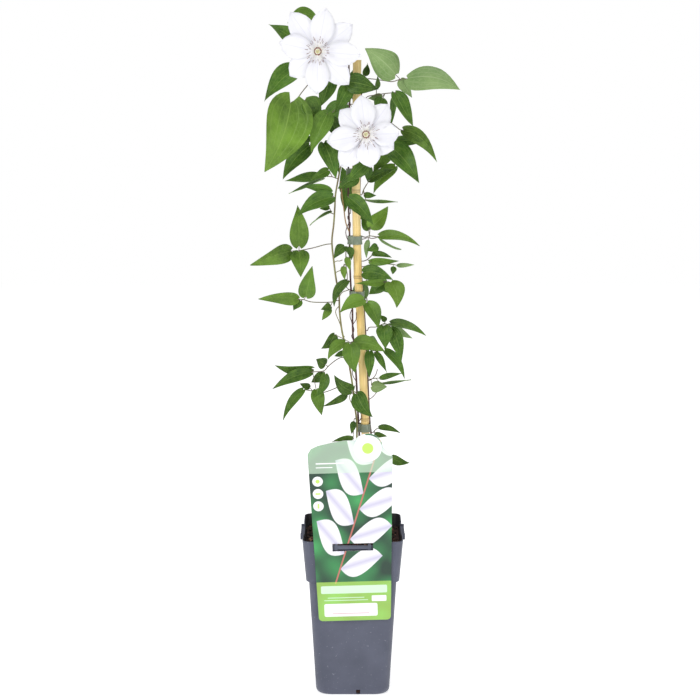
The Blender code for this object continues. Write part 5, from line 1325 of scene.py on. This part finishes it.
ANTHER_PURPLE = colour_of(132, 104, 112)
FILAMENT_FOOT = colour_of(140, 72, 56)
STYLE_CREAM = colour_of(240, 238, 208)
STYLE_FOOT = colour_of(210, 198, 140)

tepal_white, tree, shader = new_material("tepal_white", BLOOM_WHITE, 0.5, Subsurface_Weight=0.2,
                                         Subsurface_Scale=0.004, Subsurface_Radius=(1.0, 1.0, 1.0))
# The tepals are white; their soft lavender clouds and the lavender of their sunk ribs are painted shade
cloud = mottled(tree, BLOOM_WHITE, BLOOM_LAVENDER, scale=60.0, amount=0.3)
veined = use(tree, veins, {"Colour": cloud, "Vein": BLOOM_LAVENDER, "Width": 0.045, "Net": 0.0})
wire(tree, veined, shader.inputs["Base Color"])
relief(tree, shader, veined.outputs["Height"], strength=0.3, depth=0.0003, sunk=True)


def stalk_form(name, profile, bend, materials):
    """A thin bar along +X through (place, radius, material) stations, bowed upward; millimetres in."""
    shape = bmesh.new()
    rows = []
    length = profile[-1][0]
    for place, radius, _ in profile:
        middle = Vector((place, 0.0, bend * (place / length) ** 2)) * MM
        rows.append([shape.verts.new(middle + Vector((
            0.0, radius * MM * math.cos(2.0 * math.pi * side / TUFT_SIDES),
            radius * MM * math.sin(2.0 * math.pi * side / TUFT_SIDES)))) for side in range(TUFT_SIDES)])
    for (lower, upper), (_, _, material) in zip(zip(rows, rows[1:]), profile):
        for side in range(TUFT_SIDES):
            after = (side + 1) % TUFT_SIDES
            shape.faces.new((lower[side], lower[after], upper[after], upper[side])).material_index = material
    shape.faces.new(rows[0])
    shape.faces.new(rows[-1]).material_index = profile[-1][2]
    bmesh.ops.recalc_face_normals(shape, faces=shape.faces)
    return mesh_piece(name, shape, materials, 60.0)


filament_cream, _, _ = new_material("filament_cream", FILAMENT_CREAM, 0.55)
filament_foot, _, _ = new_material("filament_foot", FILAMENT_FOOT, 0.6)
anther_purple, tree, shader = new_material("anther_purple", ANTHER_PURPLE, 0.7)
cloud = mottled(tree, ANTHER_PURPLE, FILAMENT_CREAM, scale=500.0, amount=0.5)
wire(tree, cloud, shader.inputs["Base Color"])
style_cream, tree, shader = new_material("style_cream", STYLE_CREAM, 0.6)
cloud = mottled(tree, STYLE_CREAM, STYLE_FOOT, scale=600.0, amount=0.6)
wire(tree, cloud, shader.inputs["Base Color"])

anther = FILAMENT_LENGTH * ANTHER_START
filament_form = stalk_form("filament_form", (
    (0.0, FILAMENT_RADIUS * 1.6, 2), (1.6, FILAMENT_RADIUS * 1.3, 0), (anther * 0.6, FILAMENT_RADIUS, 0),
    (anther, FILAMENT_RADIUS, 1),
    (anther + 0.5, ANTHER_RADIUS, 1), (FILAMENT_LENGTH - 0.6, ANTHER_RADIUS * 0.8, 1),
    (FILAMENT_LENGTH, ANTHER_RADIUS * 0.3, 1),
), FILAMENT_BEND, [filament_cream, anther_purple, filament_foot])
style_form = stalk_form("style_form", (
    (0.0, 0.7, 0), (STYLE_LENGTH * 0.6, 0.5, 0), (STYLE_LENGTH, 0.25, 0),
), STYLE_BEND, [style_cream])

# A tuft is a ring of one form, each leaning out by its own random tilt and a little longer or shorter.
tuft, entry, leave = geometry_tree("tuft_round_ring", (
    ("Start", "Geometry"), ("Form", "Object"), ("Count", "Int"), ("Radius", "Float"), ("Seed", "Int"),
    ("Least Lift", "Float"), ("Most Lift", "Float"), ("Finish", "Material")))
ring = add(tuft, "GeometryNodeMeshCircle", {"Vertices": entry["Count"], "Radius": entry["Radius"]})
feet = add(tuft, "GeometryNodeMeshToPoints", {"Mesh": ring})
place = add(tuft, "GeometryNodeInputPosition")
place_parts = add(tuft, "ShaderNodeSeparateXYZ", {"Vector": place})
heading = maths(tuft, "ARCTAN2", place_parts.outputs["Y"], place_parts.outputs["X"])
second_seed = maths(tuft, "ADD", entry["Seed"], 11.0)
third_seed = maths(tuft, "ADD", entry["Seed"], 23.0)
sway = add(tuft, "FunctionNodeRandomValue", {
    2: -TUFT_SWAY, 3: TUFT_SWAY, "Seed": entry["Seed"]}, data_type="FLOAT")
swayed = maths(tuft, "ADD", heading, sway.outputs[1])
lift = add(tuft, "FunctionNodeRandomValue", {
    2: entry["Least Lift"], 3: entry["Most Lift"], "Seed": second_seed}, data_type="FLOAT")
sunk = maths(tuft, "MULTIPLY", lift.outputs[1], -1.0)
turned = add(tuft, "ShaderNodeCombineXYZ", {"Y": sunk, "Z": swayed})
growth = add(tuft, "FunctionNodeRandomValue", {
    2: TUFT_GROWTH[0], 3: TUFT_GROWTH[1], "Seed": third_seed}, data_type="FLOAT")
form = add(tuft, "GeometryNodeObjectInfo", {"Object": entry["Form"], "As Instance": True})
spread = add(tuft, "GeometryNodeInstanceOnPoints", {
    "Points": feet, "Instance": form.outputs["Geometry"], "Rotation": turned, "Scale": growth.outputs[1]})
shaft_faces = add(tuft, "GeometryNodeMaterialSelection", {"Material": entry["Finish"]})
end_with(tuft, spread, entry["Finish"], leave, shaft_faces)

tepal_form = blade_form("blade_9_tepal", tepal_width, TEPAL_FOLD, *TEPAL_BLADE,
                        materials=[tepal_white, tepal_white])
bpy.context.scene.collection.objects.unlink(tepal_form)
leaf_forms.objects.link(tepal_form)

for number, (name, bloom) in enumerate(BLOOMS.items()):
    centre = seen_at(*bloom["centre"])
    out = (VIEWPOINT - centre).normalized()
    across = Vector((0.0, 0.0, 1.0)).cross(out).normalized()
    up = out.cross(across)
    facing = Matrix.Translation(centre) @ Matrix((across, up, out)).transposed().to_4x4()

    blades = []
    for order, (x, z) in enumerate(bloom["tips"]):
        layer = TEPAL_LAYER * MM * (-1 if order % 2 else 1)
        tip = seen_at(x, z, bloom["centre"][2] + TEPAL_TIPS_BEHIND)
        base = centre + (tip - centre).normalized() * RECEPTACLE_RADIUS * TEPAL_ROOT * MM
        base += out * layer * TEPAL_ROOT_LAYER
        blades.append((base, tip + out * layer, TEPAL_HALF * MM, 0.0, TEPAL_ARCH * MM, 0.0, 0.5, TEPAL_FORM))
    back = centre - out * RECEPTACLE_HALF_DEPTH * MM
    seat = [(back, RECEPTACLE_BACK_RADIUS * MM), (centre, RECEPTACLE_RADIUS * MM),
            (centre + out * RECEPTACLE_HALF_DEPTH * MM, RECEPTACLE_FRONT_RADIUS * MM)]
    tepals = skeleton(name + "_tepals", [seat], blades)
    grow(tepals, leafing, {"Forms": leaf_forms, "Thickness": TEPAL_THICKNESS * MM,
                           "Ruffle": TEPAL_RUFFLE * MM, "Ruffle Seed": TEPAL_RUFFLE_SEED + number,
                           "Stalk Finish": filament_cream})
    tepals.data.shade_smooth()
    dress(tepals, "tepal_white", name + "_tepals")

    seat_lift = Matrix.Translation((0.0, 0.0, (RECEPTACLE_HALF_DEPTH - TUFT_DEPTH) * MM))
    for part, slot, form, finish, count, radius, (least_lift, most_lift) in (
            ("stamens", "stamen_cream", filament_form, filament_cream, FILAMENT_COUNT, FILAMENT_RING,
             FILAMENT_LIFT),
            ("styles", "style_yellow", style_form, style_cream, STYLE_COUNT, STYLE_RING, STYLE_LIFT)):
        start = mesh_piece(f"{name}_{part}", bmesh.new(), [])
        grow(start, tuft, {"Form": form, "Count": count, "Radius": radius * MM, "Seed": number + TUFT_SEED,
                           "Least Lift": least_lift, "Most Lift": most_lift, "Finish": finish})
        start.data.transform(facing @ seat_lift)
        dress(start, slot, f"{name}_{part}")

    behind = back - out * STALK_REACH * MM
    root = sprout(bloom["stem"], bloom["root"], behind)
    middle = (root[-1] + behind) / 2 + Vector((0.0, 0.0, STALK_RISE * MM))
    stalk = path_piece(name + "_stalk", [[
        *((point, STALK_RADIUS * MM) for point in (*root, middle, behind)),
        (back - out * STALK_NECK * MM, STALK_NECK_SCALE * STALK_RADIUS * MM),
        (back + out * STALK_OVERLAP * MM, RECEPTACLE_BACK_RADIUS * MM)]])
    grow(stalk, tubes, {"Step": STALK_STEP * MM, "Sides": STALK_SIDES, "Finish": petiole_bark})
    stalk.data.shade_smooth()
    dress(stalk, "green_stem", name + "_stalk")
for form in [*leaf_forms.objects, filament_form, style_form]:
    bpy.data.objects.remove(form, do_unlink=True)
bpy.data.collections.remove(leaf_forms)

# Label
# A die-cut plate of printed white plastic, hung on the front rib through its window. Its print is a plain
# one of its own: a sprig of pale leaves on green foliage, a mint head, a lime foot, white panels and discs.
LABEL_THICKNESS = 0.8
LABEL_TOP_HALF = 45.2
LABEL_FOOT_HALF = 39.4
LABEL_FOOT = 85.5
LABEL_SHOULDER = 110.0
LABEL_CORNER = 4.5
LABEL_CREST = ((-5.0, 121.0), (-20.0, 119.0), (-34.0, 116.0), (-41.5, 112.5))
LABEL_DISC = (19.1, 111.8)
LABEL_DISC_RADIUS = 16.4
LABEL_TURN = math.radians(1.66)
LABEL_LEAN = math.radians(4.0)
LABEL_FRONT = -56.2
WINDOW_HALF = 22.0
WINDOW_TOP = RIB_TOP - RIB[2] + LUG[2] - LUG_DROP + 0.3
WINDOW_FOOT = RIB_TOP - RIB[2] - LUG_DROP - 0.6
PRINT_UNIT = 100.0
PRINT_EDGE = 0.001
SPRIG_FOOT = (-0.2, -0.42, 0.0)
SPRIG_TURN = math.radians(72.0)
SPRIG_PITCH = 0.36
SPRIG_REACH = 0.4
SPRIG_HALF_WIDTH = 0.172
SPRIG_LEAN = 0.7
SPRIG_STALK = 0.011
PRINT_WHITE = colour_of(250, 250, 252)
PRINT_MINT = colour_of(214, 242, 214)
PRINT_LIME = colour_of(200, 248, 104)
PRINT_FOLIAGE = colour_of(60, 164, 88)
PRINT_DEEP = colour_of(8, 54, 36)
PRINT_LAVENDER = colour_of(206, 202, 226)
PRINT_ROSE = colour_of(196, 110, 100)
PRINT_LINE = colour_of(206, 150, 160)

# Flat marks of the print, in the order they are laid down: middle, half-width, half-height, corner, ink.
PRINT_MARKS = (
    ((0.0, 104.5), (60.0, 19.5), 0.0, PRINT_MINT),
    ((0.0, -64.0), (60.0, 24.0), 0.0, PRINT_LIME),
    ((0.0, -49.0), (36.0, 4.5), 1.5, PRINT_MINT),
    ((-4.0, -73.0), (29.0, 7.5), 2.0, PRINT_WHITE),
    ((-4.0, -77.0), (20.0, 0.35), 0.3, PRINT_LINE),
    ((27.0, -60.0), (8.0, 3.4), 1.0, PRINT_WHITE),
    ((-9.0, -61.5), (24.0, 0.4), 0.4, PRINT_MINT),
    ((-9.0, -58.5), (20.0, 0.4), 0.4, PRINT_MINT),
    ((-35.5, 76.0), (5.6, 5.6), 5.6, PRINT_WHITE),
    ((-35.5, 76.0), (2.2, 2.2), 2.2, PRINT_LIME),
    ((-35.5, 62.0), (5.6, 5.6), 5.6, PRINT_WHITE),
    ((-35.5, 62.0), (2.8, 0.9), 0.9, PRINT_LIME),
    ((-35.5, 48.0), (5.6, 5.6), 5.6, PRINT_WHITE),
    ((-35.5, 48.0), (0.9, 2.8), 0.9, PRINT_LIME),
    ((-22.0, 96.0), (15.0, 0.7), 0.7, PRINT_WHITE),
    ((-28.0, 91.5), (9.0, 0.5), 0.5, PRINT_WHITE),
    (LABEL_DISC, (14.8, 14.8), 14.8, PRINT_WHITE),
    (LABEL_DISC, (6.0, 6.0), 6.0, PRINT_LIME),
)


def plate(name, outlines, thickness):
    """A flat plate from closed outlines in millimetres, the inner ones cut out of the first."""
    curve = bpy.data.curves.new(name, "CURVE")
    curve.dimensions = "2D"
    curve.fill_mode = "BOTH"
    curve.extrude = thickness * MM / 2
    for outline in outlines:
        spline = curve.splines.new("POLY")
        spline.points.add(len(outline) - 1)
        spline.use_cyclic_u = True
        for index, (x, y) in enumerate(outline):
            spline.points[index].co = (x * MM, y * MM, 0.0, 1.0)
    drawn = bpy.data.objects.new(name + "_outline", curve)
    bpy.context.scene.collection.objects.link(drawn)
    bpy.context.view_layer.update()
    mesh = bpy.data.meshes.new_from_object(drawn.evaluated_get(bpy.context.evaluated_depsgraph_get()))
    bpy.data.objects.remove(drawn, do_unlink=True)
    return piece_of(name, mesh)


mark, mark_in, mark_out = shader_group(
    "printed_mark",
    (("Colour", "Color"), ("Ink", "Color"), ("Middle", "Vector"), ("Core", "Vector"), ("Corner", "Float")),
    (("Colour", "Color"),))
mark_map = add(mark, "ShaderNodeUVMap", uv_map="print")
mark_apart = add(mark, "ShaderNodeVectorMath", {0: mark_map, 1: mark_in["Middle"]}, operation="SUBTRACT")
mark_side = add(mark, "ShaderNodeVectorMath", {0: mark_apart}, operation="ABSOLUTE")
mark_over = add(mark, "ShaderNodeVectorMath", {0: mark_side, 1: mark_in["Core"]}, operation="SUBTRACT")
mark_clear = add(mark, "ShaderNodeVectorMath", {0: mark_over, 1: (0.0, 0.0, 0.0)}, operation="MAXIMUM")
mark_away = add(mark, "ShaderNodeVectorMath", {0: mark_clear}, operation="LENGTH")
mark_past = maths(mark, "SUBTRACT", mark_away.outputs["Value"], mark_in["Corner"])
mark_ink = remap(mark, mark_past, low=PRINT_EDGE, high=-PRINT_EDGE)
wire(mark, mixed(mark, mark_ink, mark_in["Colour"], mark_in["Ink"]), mark_out["Colour"])

label_print, tree, shader = new_material(
    "label_print", PRINT_WHITE, 0.3, Coat_Weight=0.25, Coat_Roughness=0.15)
leafy_place = add(tree, "ShaderNodeUVMap", uv_map="print")
leafy_cells = add(tree, "ShaderNodeTexVoronoi", {
    "Vector": leafy_place, "Scale": 4.2, "Randomness": 0.9}, feature="SMOOTH_F1")
leafy_share = remap(tree, leafy_cells, low=0.1, high=0.6)
printed = mixed(tree, leafy_share, PRINT_FOLIAGE, PRINT_DEEP)
sprig_place = add(tree, "ShaderNodeMapping", {
    "Vector": leafy_place, "Location": SPRIG_FOOT, "Rotation": (0.0, 0.0, SPRIG_TURN)},
    vector_type="TEXTURE")
sprig_parts = add(tree, "ShaderNodeSeparateXYZ", {"Vector": sprig_place})
sprig_out = maths(tree, "ABSOLUTE", sprig_parts.outputs["Y"])
sprig_side = maths(tree, "LESS_THAN", sprig_parts.outputs["Y"], 0.0)
sprig_lean = maths(tree, "MULTIPLY_ADD", sprig_out, -SPRIG_LEAN, sprig_parts.outputs["X"])
sprig_step = maths(tree, "MULTIPLY_ADD", sprig_side, SPRIG_PITCH / 2, sprig_lean)
sprig_cell = maths(tree, "WRAP", sprig_step, SPRIG_PITCH / 2, -SPRIG_PITCH / 2)
sprig_off = maths(tree, "ABSOLUTE", sprig_cell)
sprig_share = remap(tree, sprig_out, high=SPRIG_REACH, to_high=math.pi)
sprig_belly = maths(tree, "SINE", sprig_share)
sprig_width = maths(tree, "MULTIPLY", sprig_belly, SPRIG_HALF_WIDTH)
sprig_inside = maths(tree, "SUBTRACT", sprig_width, sprig_off)
sprig_mask = remap(tree, sprig_inside, high=0.008)
sprig_shade = remap(tree, sprig_off, high=0.07, to_low=1.0, to_high=0.1)
sprig_colour = mixed(tree, sprig_shade, PRINT_WHITE, PRINT_LAVENDER)
sprig_begun = maths(tree, "GREATER_THAN", sprig_step, SPRIG_PITCH / 2)
sprig_leaf = maths(tree, "MULTIPLY", sprig_mask, sprig_begun)
printed = mixed(tree, sprig_leaf, printed, sprig_colour)
stalk_inside = maths(tree, "SUBTRACT", SPRIG_STALK, sprig_out)
stalk_mask = remap(tree, stalk_inside, high=0.006)
stalk_begun = maths(tree, "GREATER_THAN", sprig_parts.outputs["X"], 0.0)
stalk_ink = maths(tree, "MULTIPLY", stalk_mask, stalk_begun)
printed = mixed(tree, stalk_ink, printed, PRINT_ROSE)
for middle, halves, corner, ink in PRINT_MARKS:
    core = [(half - corner) / PRINT_UNIT for half in halves]
    printed = use(tree, mark, {
        "Colour": printed, "Ink": ink, "Middle": (middle[0] / PRINT_UNIT, middle[1] / PRINT_UNIT, 0.0),
        "Core": (*core, 1.0), "Corner": corner / PRINT_UNIT})
wire(tree, printed, shader.inputs["Base Color"])
label_white, _, _ = new_material("label_white", PRINT_WHITE, 0.35)

window_half_height = (WINDOW_TOP - WINDOW_FOOT) / 2 + WINDOW_HALF * math.sin(LABEL_TURN)
label_outline = arc((-LABEL_FOOT_HALF + LABEL_CORNER, LABEL_CORNER - LABEL_FOOT), LABEL_CORNER, 180, 270, 8)
label_outline += arc((LABEL_FOOT_HALF - LABEL_CORNER, LABEL_CORNER - LABEL_FOOT), LABEL_CORNER, 270, 360, 8)
label_outline += arc((LABEL_TOP_HALF - LABEL_CORNER, LABEL_SHOULDER - 2 * LABEL_CORNER),
                     LABEL_CORNER, 0, 62, 6)
label_outline += arc(LABEL_DISC, LABEL_DISC_RADIUS, 2, 146, 28)
label_outline += LABEL_CREST
label_outline += arc((-LABEL_TOP_HALF + LABEL_CORNER, LABEL_SHOULDER - LABEL_CORNER),
                     LABEL_CORNER, 130, 180, 6)
window = [(x * WINDOW_HALF, y * window_half_height) for x, y in ((-1, -1), (1, -1), (1, 1), (-1, 1))]
label = plate("label", [label_outline, window], LABEL_THICKNESS)
label.data.materials.append(label_print)
label.data.materials.append(label_white)
spread = label.data.uv_layers.new(name="print")
for loop in label.data.loops:
    place = label.data.vertices[loop.vertex_index].co
    spread.data[loop.index].uv = (place.x / MM / PRINT_UNIT, place.y / MM / PRINT_UNIT)
for polygon in label.data.polygons:
    polygon.material_index = 0 if polygon.normal.z > 0.5 else 1
hung = (Matrix.Translation((0.0, LABEL_FRONT * MM, (WINDOW_TOP + WINDOW_FOOT) / 2 * MM))
        @ Matrix.Rotation(math.radians(90.0) + LABEL_LEAN, 4, "X") @ Matrix.Rotation(LABEL_TURN, 4, "Z"))
label.data.transform(hung)
dress(label, "label_plastic", "label")
